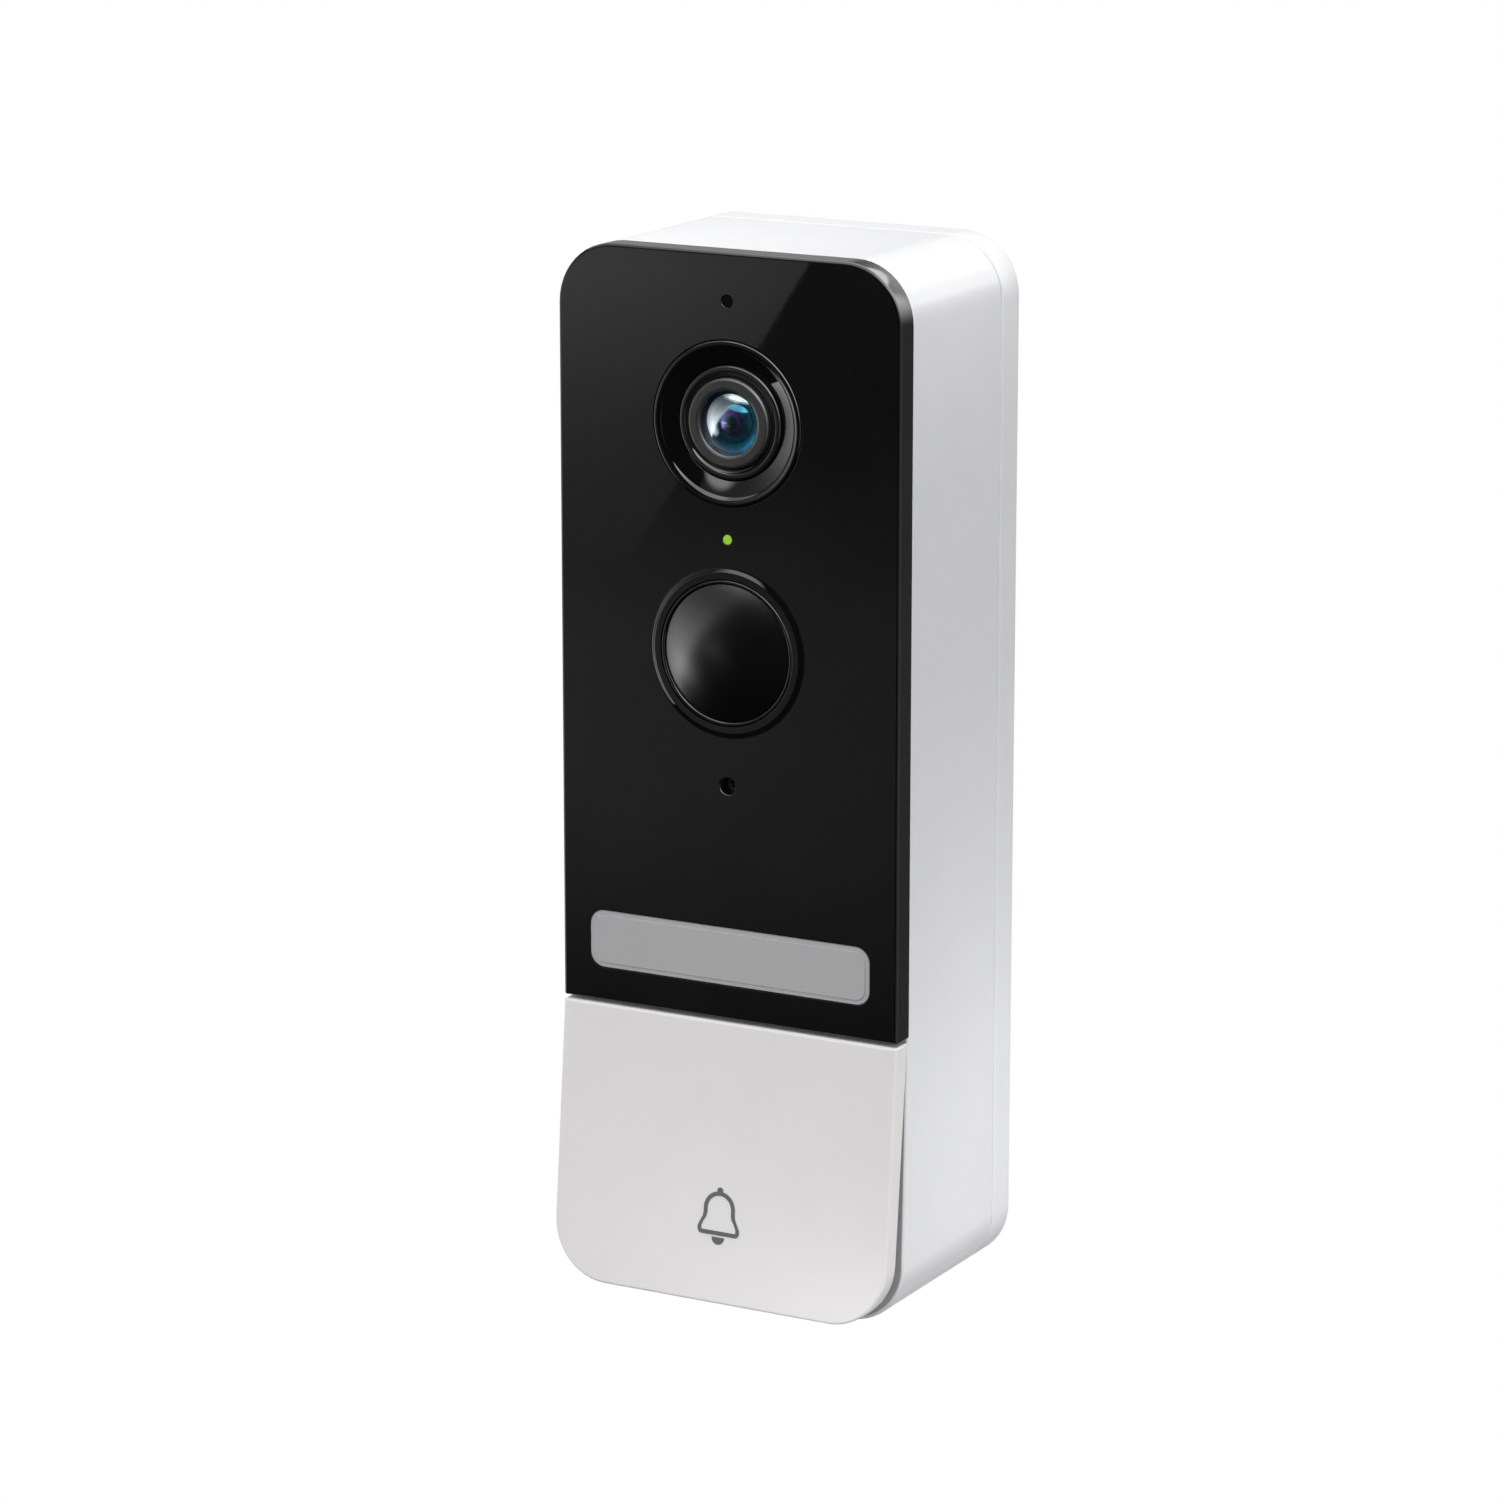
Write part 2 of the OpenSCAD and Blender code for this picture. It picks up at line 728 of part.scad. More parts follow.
// Printed bell symbol, a thin layer of ink that follows the button's face.
module bell_icon() {
    ink = 0.06;
    grow = 0.08;
    line = 0.58;
    color("dimgray") intersection() {
        along_y(face_y - 8, deck_y - 1) translate([0, switch_z]) {
            difference() {
                bell_shape(grow);
                bell_shape(grow - line);
            }
            translate([0, 4.7]) circle(0.45);
            intersection() {
                translate([0, -1.95]) circle(0.97);
                translate([-2, -3.4]) square([4, 1.5]);
            }
        }
        difference() {
            face_cylinder();
            face_cylinder(-ink);
        }
    }
}

module button_hinge_pins() {
    reach = lug_w / 2 + 0.2 + ear_w;
    color("silver") pair(hinge_x)
        translate([-reach, hinge_y, hinge_z]) rotate([0, 90, 0]) cylinder(r = pin_r, h = 2 * reach);
}

// Silicone dome that seals the switch opening and pushes the button back out.
module button_boot() {
    flange_y = deck_y - 0.9;
    color("dimgray") turned(switch_z, [
        [4.6, flange_y + 0.9], [6.4, flange_y + 0.9], [6.4, flange_y - 0.6], [5, flange_y - 0.6],
        [2.6, boot_tip_y], [0, boot_tip_y], [0, boot_tip_y + 0.6], [2.3, boot_tip_y + 0.6],
        [4.6, flange_y]
    ]);
}

module button_switch() {
    color("black") difference() {
        block([-3, deck_y + 0.4, switch_z - 3], [3, switch_back_y, switch_z + 3]);
        rod(1.75, deck_y, deck_y + 2.6, [0, switch_z]);
    }
}

module button_switch_plunger() {
    color("saddlebrown") rod(1.7, boot_tip_y + 0.62, deck_y + 1.6, [0, switch_z]);
}

module button_springs() {
    spring_r = 1.9;
    color("silver") pair(12) translate([0, deck_y - 0.03, -52]) rotate([90, 0, 0])
        coil(spring_r, 0.2, 2.75, 4);
}

module button_board() {
    color("darkgreen") difference() {
        block([-12, switch_back_y, -67], [12, switch_back_y + small_board_t, -45]);
        pair(button_board_screw[0]) rod(1.0, switch_back_y - 1, switch_back_y + 2, [0, button_board_screw[1]]);
    }
}

// ---------- main board ----------

module main_board() {
    color("darkgreen") difference() {
        block([-21.5, pcb_y, pcb_bottom], [21.5, pcb_y + pcb_t, 71]);
        four(corner_screw) rod(3, pcb_y - 1, pcb_y + 2);
        pair(corner_screw[0]) block([-3, pcb_y - 1, corner_screw[1]], [3, pcb_y + 2, 72]);
        for (p = pcb_screw, s = [-1, 1]) rod(1.1, pcb_y - 1, pcb_y + 2, [s * p[0], p[1]]);
    }
}

// Packages soldered to the main board: [x, z, width, height], front ones first.
chips_front = [[-14, 31, 7, 7], [13.5, 31, 9, 6], [12, 22, 5, 4], [-13.5, 64, 6, 5]];
chips_back = [[14, 24, 8, 5], [-15, 38, 6, 8], [16, 62, 5, 5]];
chip_t = 1.1;

module main_board_chips() {
    color("black") {
        for (c = chips_front) block([c[0] - c[2] / 2, pcb_y - chip_t, c[1] - c[3] / 2],
            [c[0] + c[2] / 2, pcb_y, c[1] + c[3] / 2]);
        for (c = chips_back) block([c[0] - c[2] / 2, pcb_y + pcb_t, c[1] - c[3] / 2],
            [c[0] + c[2] / 2, pcb_y + pcb_t + chip_t, c[1] + c[3] / 2]);
        block([reset_at[0] - 2.2, pcb_y + pcb_t, reset_at[1] - 2.2], [reset_at[0] + 2.2, -11.6, reset_at[1] + 2.2]);
    }
}

module chip_shield() {
    color("silver") difference() {
        block([-10, pcb_y + pcb_t, 41], [10, pcb_y + pcb_t + 2.2, 62]);
        block([-9.7, pcb_y, 41.3], [9.7, pcb_y + pcb_t + 1.9, 61.7]);
    }
}

// Pan-head screw whose head sits on a board's back face at y.
module board_screw(y, reach) {
    rod(1.7, y, y + 0.5);
    rod(0.8, y - reach, y + eps);
}

module board_screws() {
    color("silver") {
        for (p = pcb_screw) pair(p[0]) translate([0, 0, p[1]]) board_screw(pcb_y + pcb_t, 5);
        for (p = front_board_screw) pair(p[0]) translate([0, 0, p[1]])
            board_screw(switch_back_y + small_board_t, small_board_t);
        pair(button_board_screw[0]) translate([0, 0, button_board_screw[1]])
            board_screw(switch_back_y + small_board_t, small_board_t);
    }
}

module wifi_antenna() {
    color("goldenrod") {
        block([-12, -28, 71.6], [12, -19, 71.95]);
        block([9, -19.02, 71.6], [11, pcb_y, 71.95]);
    }
}

// ---------- speaker ----------

speaker_low = [-14, -26.5, -71];
speaker_high = [14, -10.5, -62.6];

module speaker_frame() {
    color("dimgray") difference() {
        block(speaker_low, speaker_high);
        block([-12.6, -25.1, -72], [12.6, -11.9, -68.8]);
        translate([0, -18.5, -68.9]) cylinder(r = 5.4, h = 2.4);
    }
}

module speaker_cone() {
    color("black") translate([0, -18.5, 0]) {
        translate([0, 0, -70.2]) linear_extrude(0.5) round_rect(25, 13, 4);
        translate([0, 0, -69.72]) difference() {
            cylinder(r = 5, h = 2.9);
            translate([0, 0, -1]) cylinder(r = 4.5, h = 3.2);
        }
    }
}

module speaker_gasket() {
    color("black") translate([0, -18.5, -half_h + wall]) linear_extrude(1) difference() {
        square([28, 16], center = true);
        square([25, 13.4], center = true);
    }
}

// ---------- battery ----------

module battery_bay() {
    x = battery_w / 2 + bay_gap;
    z0 = battery_bottom - bay_gap;
    z1 = battery_top + bay_gap;
    front = battery_front_y - bay_gap;
    color("dimgray") difference() {
        union() {
            block([-x - bay_wall, front - bay_wall, z0 - bay_wall], [x + bay_wall, plate_y, z1 + bay_wall]);
            for (z = [-50, 0]) block([-inner_w / 2 + 0.05, front + 2, z], [inner_w / 2 - 0.05, plate_y - 3, z + 2]);
        }
        block([-x, front, z0], [x, plate_y + 1, z1]);
        for (x = contact_x) translate([x, contact_y, z1 - 1]) cylinder(r = 0.85, h = 3);
    }
}

contact_x = [-7.5, -2.5, 2.5, 7.5];
contact_y = -16.4;

module battery_contacts() {
    color("gold") for (x = contact_x) translate([x, contact_y, battery_top + 0.02])
        cylinder(r = 0.8, h = pcb_bottom - battery_top - 0.04);
}

module battery_case() {
    shell = 0.7;
    color([0.12, 0.12, 0.13]) difference() {
        block([-battery_w / 2, battery_front_y, battery_bottom], [battery_w / 2, battery_back_y, battery_top]);
        block([-battery_w / 2 + shell, battery_front_y + shell, battery_bottom + shell],
            [battery_w / 2 - shell, battery_back_y - 0.6, battery_top - shell - 1.2]);
        block([-6, battery_back_y - 1.5, battery_top - 1.7], [6, battery_back_y + 1, battery_top + 1]);
        block([-7, battery_back_y - 0.4, -50], [7, battery_back_y + 1, -46]);
    }
}

module battery_cells() {
    cell_r = 8.95;
    color("royalblue") for (x = [-1, 1])
        translate([x * (cell_r + 0.05), (battery_front_y + battery_back_y) / 2, battery_bottom + 0.75])
            cylinder(r = cell_r, h = 64.5);
}

// Slider that hooks over the back of the battery pack.
module battery_latch() {
    z0 = battery_top - 1.4;
    color("orange") {
        block([-latch_w / 2, rear_y - 1.3, z0], [latch_w / 2, rear_y - 0.1, 17]);
        block([-1.5, plate_y - 0.9, 12], [1.5, rear_y - 1.3 + eps, 15]);
        block([-2.6, plate_y - 2.5, 11.8], [2.6, plate_y - 0.1, 15.2]);
        for (z = [11:1.4:15.2]) block([-4, rear_y - 0.1 - eps, z], [4, rear_y + 0.2, z + 0.6]);
    }
}

module latch_spring() {
    color("silver") translate([0, plate_y - 1.35, 15.25]) coil(0.95, 0.18, 5.6, 7);
}

module reset_button() {
    color("darkgray") {
        rod(2.0, plate_y - 0.2, rear_y - 0.1, reset_at);
        rod(2.7, plate_y - 1.1, plate_y - 0.1, reset_at);
        rod(1.2, -11.1, plate_y - 1.1 + eps, reset_at);
    }
}

module terminal_block() {
    color("dimgray") difference() {
        union() {
            block([-11, -12, terminal_z - 6], [11, rear_y - 0.1, terminal_z + 6]);
            block([-13, -12, terminal_z - 6], [13, plate_y - 0.05, terminal_z + 6]);
        }
        for (x = [-5.5, 5.5]) {
            rod(1.5, -11, rear_y, [x, terminal_z]);
            rod(3.1, rear_y - 2.2, rear_y + 1, [x, terminal_z]);
        }
    }
    color("gold") for (x = [-5.5, 5.5]) {
        rod(1.45, -10.9, rear_y - 2.15, [x, terminal_z]);
        rod(2.9, rear_y - 2.18, rear_y - 0.5, [x, terminal_z]);
    }
}

// ---------- nodes ----------

wall_bracket();
bracket_rim();
bracket_clip();
main_housing();
back_plate();
back_plate_screws();
rear_seal();
front_panel();
panel_adhesive();
camera_bezel();
lens_barrel();
lens_ring();
lens_front_glass();
lens_inner_glass();
lens_holder();
ir_led_ring();
ir_leds();
ir_cut_frame();
ir_cut_filters();
ir_cut_motor();
image_sensor();
pir_bezel();
pir_lens();
pir_sensor();
pir_window();
pir_holder();
status_light_pipe();
status_led();
ambient_light_pipe();
ambient_light_sensor();
microphone_boot();
microphone();
spotlight_diffuser();
spotlight_reflector();
spotlight_leds();
front_board();
button_cover();
bell_icon();
button_hinge_pins();
button_boot();
button_switch();
button_switch_plunger();
button_springs();
button_board();
main_board();
main_board_chips();
chip_shield();
board_screws();
wifi_antenna();
speaker_frame();
speaker_cone();
speaker_gasket();
battery_bay();
battery_case();
battery_cells();
battery_contacts();
battery_latch();
latch_spring();
reset_button();
terminal_block();
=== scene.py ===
"""Looks of the video doorbell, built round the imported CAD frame, in the frame's own axes: X to the right, Y from
the front to the back, Z up. Blender's own lengths are metres; sizes and profiles here are millimetres."""
import math
from functools import reduce

import bmesh
import bpy
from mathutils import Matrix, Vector
from mathutils.geometry import delaunay_2d_cdt


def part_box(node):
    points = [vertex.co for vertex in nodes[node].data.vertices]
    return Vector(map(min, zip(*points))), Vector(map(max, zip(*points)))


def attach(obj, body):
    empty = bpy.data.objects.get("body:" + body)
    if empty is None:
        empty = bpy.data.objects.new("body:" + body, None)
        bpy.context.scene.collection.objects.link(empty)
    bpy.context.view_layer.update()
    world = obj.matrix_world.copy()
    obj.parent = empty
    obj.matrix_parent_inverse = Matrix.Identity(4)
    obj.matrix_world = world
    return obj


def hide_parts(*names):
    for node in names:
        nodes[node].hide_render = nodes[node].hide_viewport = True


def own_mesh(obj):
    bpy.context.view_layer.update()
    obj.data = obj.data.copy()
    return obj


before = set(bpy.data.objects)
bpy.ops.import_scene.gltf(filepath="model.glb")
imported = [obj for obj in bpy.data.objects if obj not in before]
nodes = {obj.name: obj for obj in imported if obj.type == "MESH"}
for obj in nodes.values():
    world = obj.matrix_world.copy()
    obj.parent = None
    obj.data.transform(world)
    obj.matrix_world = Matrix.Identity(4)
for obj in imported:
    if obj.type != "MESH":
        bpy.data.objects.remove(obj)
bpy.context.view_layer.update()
MM = 0.001


# ---------------------------------------------------------------- sizes in millimetres, most from the CAD boxes
def box(node):
    """The low and the high corner of a CAD node."""
    low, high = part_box(node)
    return low / MM, high / MM


body_high = box("wall_bracket")[1]
HALF_W, HALF_H = body_high.x, body_high.z
CORNER_R = 8.5                          # corners of the body's outline
SMALL_R = 0.35                          # corners where the panel and the button meet
EDGE_R = 0.45                           # rounding of the panel's, the button's and the housing's front edges
COLLAR = 0.35                           # how far the motion sensor's ring stands out of the panel
PLATE = 2.2                             # thickness of the panel's and the button's front walls
PANEL_WALL, BUTTON_WALL = 1.4, 1.6      # thickness of their side walls
panel_low, panel_high = box("front_panel")
FACE_Y, DECK_Y = panel_low.y + COLLAR, panel_high.y
PLATE_BACK = FACE_Y + PLATE
REAR_Y = box("back_plate")[1].y
button_low = box("button_cover")[0]
BUTTON_TOP, LEAN, ARC_R = -33.1, 0.07, 625.0    # the button's top edge, and its front's slope and radius
BUTTON_GAP, BACK_LEAN = 0.25, 0.10      # between the button's back edge and the deck at the top, and its slope
HOUSING_LEAN = 0.03                     # slope of the housing's front edge behind the button
CAMERA_Z = sum(v.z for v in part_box("camera_bezel")) / 2 / MM
PIR_Z = sum(v.z for v in box("pir_bezel")) / 2
PIR_HOLE_R, PIR_SWELL_R = 10.2, 11.95   # the motion sensor's hole, and the foot of the raised ring round it
BAR_LOW, BAR_HIGH = box("spotlight_diffuser")
BAR_HALF_W, BAR_R = 22.0, 2.2           # the light bar's window: half its width, and its corners
BAR_LIP, BAR_FLANGE_R = 1, 3.2          # the flange behind it: how far it stands out all round, and its corners
# round holes in the panel: radius, height of the middle, rounding of the front edge
HOLES = {
    "camera": (11.4, CAMERA_Z, 0.12),
    "status_light": (0.7, 34.9, 0.1),
    "ambient_light": (0.85, 67.4, 0.12),
    "microphone": (1.15, 0.5, 0.25),
}


# ---------------------------------------------------------------- camera of the picture
CAMERA_AT = Vector((0.35184, -0.67043, 0.18007))    # metres
CAMERA_LOOKS_AT = Vector((-0.006132, -0.018, 0.001252))
camera = bpy.data.objects.new("camera", bpy.data.cameras.new("camera"))
bpy.context.scene.collection.objects.link(camera)
camera.location = CAMERA_AT
camera.rotation_mode = "QUATERNION"
camera.rotation_quaternion = (CAMERA_LOOKS_AT - CAMERA_AT).to_track_quat("-Z", "Y")
camera.data.lens = 131.25
camera.data.sensor_width = 36
camera.data.clip_start, camera.data.clip_end = 0.01, 50
bpy.context.scene.camera = camera


# ---------------------------------------------------------------- materials
def node_tree(name):
    """A new material with its nodes and links."""
    m = bpy.data.materials.new(name)
    m.use_nodes = True
    return m, m.node_tree.nodes, m.node_tree.links


def noise(ns, ls, scale, detail=3.0, stretch=None):
    """Noise over the object's own coordinates, scale in cycles per metre."""
    coords = ns.new("ShaderNodeTexCoord")
    n = ns.new("ShaderNodeTexNoise")
    n.inputs["Scale"].default_value = scale
    n.inputs["Detail"].default_value = detail
    if stretch:
        mapping = ns.new("ShaderNodeMapping")
        mapping.inputs["Scale"].default_value = stretch
        ls.new(coords.outputs["Object"], mapping.inputs["Vector"])
        ls.new(mapping.outputs["Vector"], n.inputs["Vector"])
    else:
        ls.new(coords.outputs["Object"], n.inputs["Vector"])
    return n.outputs["Fac"]


def spread(ns, ls, value, low, high):
    """Maps a noise value to the range low to high."""
    r = ns.new("ShaderNodeMapRange")
    r.inputs["From Min"].default_value, r.inputs["From Max"].default_value = 0.3, 0.7
    r.inputs["To Min"].default_value, r.inputs["To Max"].default_value = low, high
    ls.new(value, r.inputs["Value"])
    return r.outputs["Result"]


def shaded(colour, amount):
    """A colour made lighter or darker by the factor amount."""
    return (*[min(1.0, c * amount) for c in colour[:3]], 1.0)


def surface(name, colour, rough, metallic=0.0, tint=0.04, tint_scale=90, grain=2600, depth=0.015,
            rough_spread=0.05, coat=0.0, ior=1.5, stretch=None):
    """Principled material whose colour and roughness vary over the surface, with a fine grain in its bump."""
    m, ns, ls = node_tree(name)
    p = ns["Principled BSDF"]
    mix = ns.new("ShaderNodeMix")
    mix.data_type = "RGBA"
    mix.inputs["A"].default_value = shaded(colour, 1 - tint)
    mix.inputs["B"].default_value = shaded(colour, 1 + tint)
    ls.new(spread(ns, ls, noise(ns, ls, tint_scale, 4), 0, 1), mix.inputs["Factor"])
    ls.new(mix.outputs["Result"], p.inputs["Base Color"])
    fine = noise(ns, ls, grain, 2, stretch)
    ls.new(spread(ns, ls, noise(ns, ls, tint_scale * 6, 3), rough - rough_spread, rough + rough_spread),
           p.inputs["Roughness"])
    bump = ns.new("ShaderNodeBump")
    bump.inputs["Strength"].default_value = 1.0
    bump.inputs["Distance"].default_value = depth * MM
    ls.new(fine, bump.inputs["Height"])
    ls.new(bump.outputs["Normal"], p.inputs["Normal"])
    p.inputs["Metallic"].default_value = metallic
    p.inputs["IOR"].default_value = ior
    p.inputs["Coat Weight"].default_value = coat
    p.inputs["Coat Roughness"].default_value = 0.03
    return m


MATERIALS = {
    "housing": surface("housing_plastic", (0.80, 0.805, 0.825), 0.42, tint=0.012, depth=0.006),
    # painted shade: a darker grey for the deck behind the button, standing in for the shade in the gap there
    "deck": surface("deck_painted_shade", (0.40, 0.41, 0.41), 0.6, tint=0.03, depth=0.006),
    "bracket": surface("bracket_plastic", (0.80, 0.805, 0.825), 0.46, tint=0.012, depth=0.008),
    "back": surface("back_plastic", (0.76, 0.765, 0.785), 0.5, tint=0.015, depth=0.010),
    "button": surface("button_plastic", (0.80, 0.79, 0.785), 0.38, tint=0.010, depth=0.003),
    "panel": surface("panel_gloss", (0.0035, 0.0037, 0.0038), 0.012, tint=0.2, depth=0.0002, grain=500,
                     rough_spread=0.004),
    "bezel": surface("bezel_gloss", (0.003, 0.003, 0.0033), 0.04, tint=0.2, depth=0.0003, rough_spread=0.01,
                     ior=1.6),
    "barrel": surface("barrel_satin", (0.008, 0.008, 0.0085), 0.09, tint=0.1, depth=0.0006, rough_spread=0.02,
                      ior=1.6),
    "lens_ring": surface("lens_ring_satin", (0.085, 0.086, 0.088), 0.36, metallic=0.7, tint=0.06, depth=0.002),
    "optic_black": surface("optic_black", (0.01, 0.01, 0.011), 0.6, tint=0.2),
    "pir": surface("pir_dome", (0.0015, 0.0015, 0.002), 0.25, tint=0.1, depth=0.0006, rough_spread=0.006, ior=1.7),
    "diffuser": surface("diffuser_grey", (0.44, 0.443, 0.447), 0.34, tint=0.02, depth=0.002),
    "port": surface("port_black", (0.003, 0.003, 0.003), 0.45, tint=0.2, depth=0.002, ior=1.15),
    "icon": surface("icon_ink", (0.125, 0.13, 0.135), 0.5, tint=0.05, depth=0.002),
    "steel": surface("bright_steel", (0.62, 0.62, 0.62), 0.28, metallic=1.0, stretch=(1, 1, 12), depth=0.004),
    "rubber": surface("black_rubber", (0.022, 0.022, 0.023), 0.65, tint=0.15, depth=0.02),
    "grey_rubber": surface("grey_silicone", (0.28, 0.28, 0.29), 0.55, depth=0.01),
    "dark_plastic": surface("dark_plastic", (0.05, 0.05, 0.055), 0.5, tint=0.1, depth=0.012),
    "grey_plastic": surface("grey_plastic", (0.22, 0.22, 0.23), 0.48, depth=0.01),
    "chip": surface("chip_black", (0.02, 0.02, 0.022), 0.45, tint=0.1, depth=0.006),
    "board": surface("solder_mask", (0.02, 0.12, 0.045), 0.3, tint=0.3, tint_scale=900, depth=0.01, coat=0.4),
    "brass": surface("gold_plate", (0.85, 0.62, 0.25), 0.25, metallic=1.0),
    "copper": surface("copper_wire", (0.72, 0.36, 0.14), 0.3, metallic=1.0, stretch=(1, 1, 20), depth=0.03),
    "wrap": surface("cell_wrap", (0.05, 0.16, 0.5), 0.3, depth=0.004),
    "orange": surface("latch_orange", (0.85, 0.25, 0.03), 0.42, depth=0.006),
    "reflector": surface("reflector_white", (0.85, 0.85, 0.85), 0.3),
    "phosphor": surface("led_phosphor", (0.9, 0.75, 0.3), 0.3),
    "clear_dark": surface("clear_dark", (0.015, 0.015, 0.016), 0.12, depth=0.001),
}


def lit_green():
    """The status light: green plastic that glows a little."""
    m, ns, ls = node_tree("status_green")
    p = ns["Principled BSDF"]
    ls.new(spread(ns, ls, noise(ns, ls, 1500), 0.15, 0.3), p.inputs["Roughness"])
    p.inputs["Base Color"].default_value = (0.2, 0.41, 0.028, 1)
    p.inputs["Emission Color"].default_value = (0.24, 0.45, 0.03, 1)
    p.inputs["Emission Strength"].default_value = 0.5
    return m


def coated_glass(name, tint, ior, coat_tint, coat_ior=1.6):
    """Clear coated glass: a tinted reflection over what lies behind it."""
    m, ns, ls = node_tree(name)
    p = ns["Principled BSDF"]
    p.inputs["Base Color"].default_value = (0.92, 0.96, 1.0, 1)
    p.inputs["Transmission Weight"].default_value = 1.0
    p.inputs["IOR"].default_value = ior
    p.inputs["Specular Tint"].default_value = (*tint, 1)
    p.inputs["Coat Weight"].default_value = 1.0
    p.inputs["Coat IOR"].default_value = coat_ior
    p.inputs["Coat Roughness"].default_value = 0.02
    p.inputs["Coat Tint"].default_value = (*coat_tint, 1)
    ls.new(spread(ns, ls, noise(ns, ls, 300), 0.02, 0.03), p.inputs["Roughness"])
    return m


def coated(name, tints, reach, rough):
    """Coated element that reflects in tints, given as (part of the radius, colour); reach is the radius in
    millimetres, about the camera's axis. The first two tints are the lowest and the highest."""
    m, ns, ls = node_tree(name)
    p = ns["Principled BSDF"]
    coords = ns.new("ShaderNodeTexCoord")
    flat = ns.new("ShaderNodeMapping")
    flat.vector_type = "POINT"
    flat.inputs["Location"].default_value = (0, 0, -CAMERA_Z / reach)
    flat.inputs["Scale"].default_value = (1 / (reach * MM), 0, 1 / (reach * MM))
    away = ns.new("ShaderNodeVectorMath")
    away.operation = "LENGTH"
    ls.new(coords.outputs["Object"], flat.inputs["Vector"])
    ls.new(flat.outputs["Vector"], away.inputs[0])
    ramp = ns.new("ShaderNodeValToRGB")
    ls.new(away.outputs["Value"], ramp.inputs["Fac"])
    stops = ramp.color_ramp.elements
    for i, (place, colour) in enumerate(tints):
        stop = stops[i] if i < 2 else stops.new(place)
        stop.position, stop.color = place, (*colour, 1)
    ls.new(ramp.outputs["Color"], p.inputs["Base Color"])
    ls.new(spread(ns, ls, noise(ns, ls, 900), rough - 0.01, rough + 0.01), p.inputs["Roughness"])
    p.inputs["Metallic"].default_value = 0.7
    p.inputs["Coat Weight"].default_value = 1.0
    p.inputs["Coat Roughness"].default_value = 0.02
    return m


BLUE_R, VIOLET_R = 4.35, 2.72           # the radii that the tints of the two coated lens elements span
BLUE_TINTS = [(0.62, (0.01, 0.16, 0.20)), (1.0, (0.0, 0.22, 0.55)), (0.72, (0.02, 0.52, 0.62)),
              (0.88, (0.0, 0.45, 0.80))]
VIOLET_TINTS = [(0.0, (0.02, 0.10, 0.09)), (1.0, (0.06, 0.48, 0.58)), (0.3, (0.03, 0.18, 0.18)),
                (0.44, (0.55, 0.16, 0.66)), (0.58, (0.16, 0.14, 0.34)), (0.8, (0.10, 0.42, 0.50))]
MATERIALS["coat_blue"] = coated("blue_coating", BLUE_TINTS, BLUE_R, 0.12)
MATERIALS["coat_violet"] = coated("violet_coating", VIOLET_TINTS, VIOLET_R, 0.10)
MATERIALS["green"] = lit_green()
MATERIALS["glass"] = coated_glass("front_glass", (0.75, 0.9, 1.0), 1.7, (0.88, 0.97, 1.0), 2.3)
MATERIALS["filter"] = coated_glass("filter_glass", (0.6, 1.0, 0.9), 1.5, (0.8, 1.0, 0.95))


# ---------------------------------------------------------------- mesh tools
def put(name, verts, faces, body, material, replaces=(), smooth=30, surface_normal=None):
    """Makes a piece from millimetre coordinates, welds it, shades it and rides it on a body."""
    me = bpy.data.meshes.new(name)
    me.from_pydata([Vector(v) * MM for v in verts], [], faces)
    bm = bmesh.new()
    bm.from_mesh(me)
    bmesh.ops.remove_doubles(bm, verts=bm.verts, dist=2e-6)
    bmesh.ops.dissolve_degenerate(bm, dist=1e-7, edges=bm.edges)
    bmesh.ops.recalc_face_normals(bm, faces=bm.faces)
    bm.to_mesh(me)
    bm.free()
    return finish_piece(name, me, body, material, replaces, smooth, surface_normal)


LEAST_FLAT = 6e-6                       # square metres


def exact_normals(me, smooth, surface_normal=None):
    """Gives every corner at the edge of a flat face of some size that face's own normal, so a tangent fillet
    doesn't bend the shading of the flat. surface_normal(point in mm) does the same for a curved face."""
    bm = bmesh.new()
    bm.from_mesh(me)
    bm.faces.ensure_lookup_table()
    region, flats = [-1] * len(bm.faces), []
    for first in bm.faces:
        if region[first.index] >= 0:
            continue
        number, area, queue = len(flats), 0.0, [first]
        region[first.index] = number
        while queue:
            f = queue.pop()
            area += f.calc_area()
            for e in f.edges:
                for g in e.link_faces:
                    if region[g.index] < 0 and g.normal.dot(first.normal) > 0.999999:
                        region[g.index] = number
                        queue.append(g)
        flats.append((area, first.normal.copy()))
    best = {}
    for f in bm.faces:
        flat = flats[region[f.index]]
        if flat[0] > LEAST_FLAT:
            for v in f.verts:
                best.setdefault(v.index, []).append(flat)
    bm.free()
    limit = math.cos(math.radians(smooth))
    normals = [Vector(n.vector) for n in me.corner_normals]
    for loop in me.loops:
        now = normals[loop.index]
        for _, normal in sorted(best.get(loop.vertex_index, []), key=lambda flat: -flat[0]):
            if normal.dot(now) > limit:
                normals[loop.index] = normal
                break
        else:
            curved = surface_normal and surface_normal(me.vertices[loop.vertex_index].co / MM)
            if curved and curved.dot(now) > limit:
                normals[loop.index] = curved
    me.normals_split_custom_set(normals)


def finish_piece(name, me, body, material, replaces=(), smooth=30, surface_normal=None):
    """Makes an object of a mesh, with its shading and material, and rides it on a body."""
    o = bpy.data.objects.new(name, me)
    bpy.context.scene.collection.objects.link(o)
    me.polygons.foreach_set("use_smooth", [True] * len(me.polygons))
    me.set_sharp_from_angle(angle=math.radians(smooth))
    me.materials.clear()
    me.materials.append(MATERIALS[material])
    exact_normals(me, smooth, surface_normal)
    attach(o, body)
    if replaces:
        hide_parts(*replaces)
    return o


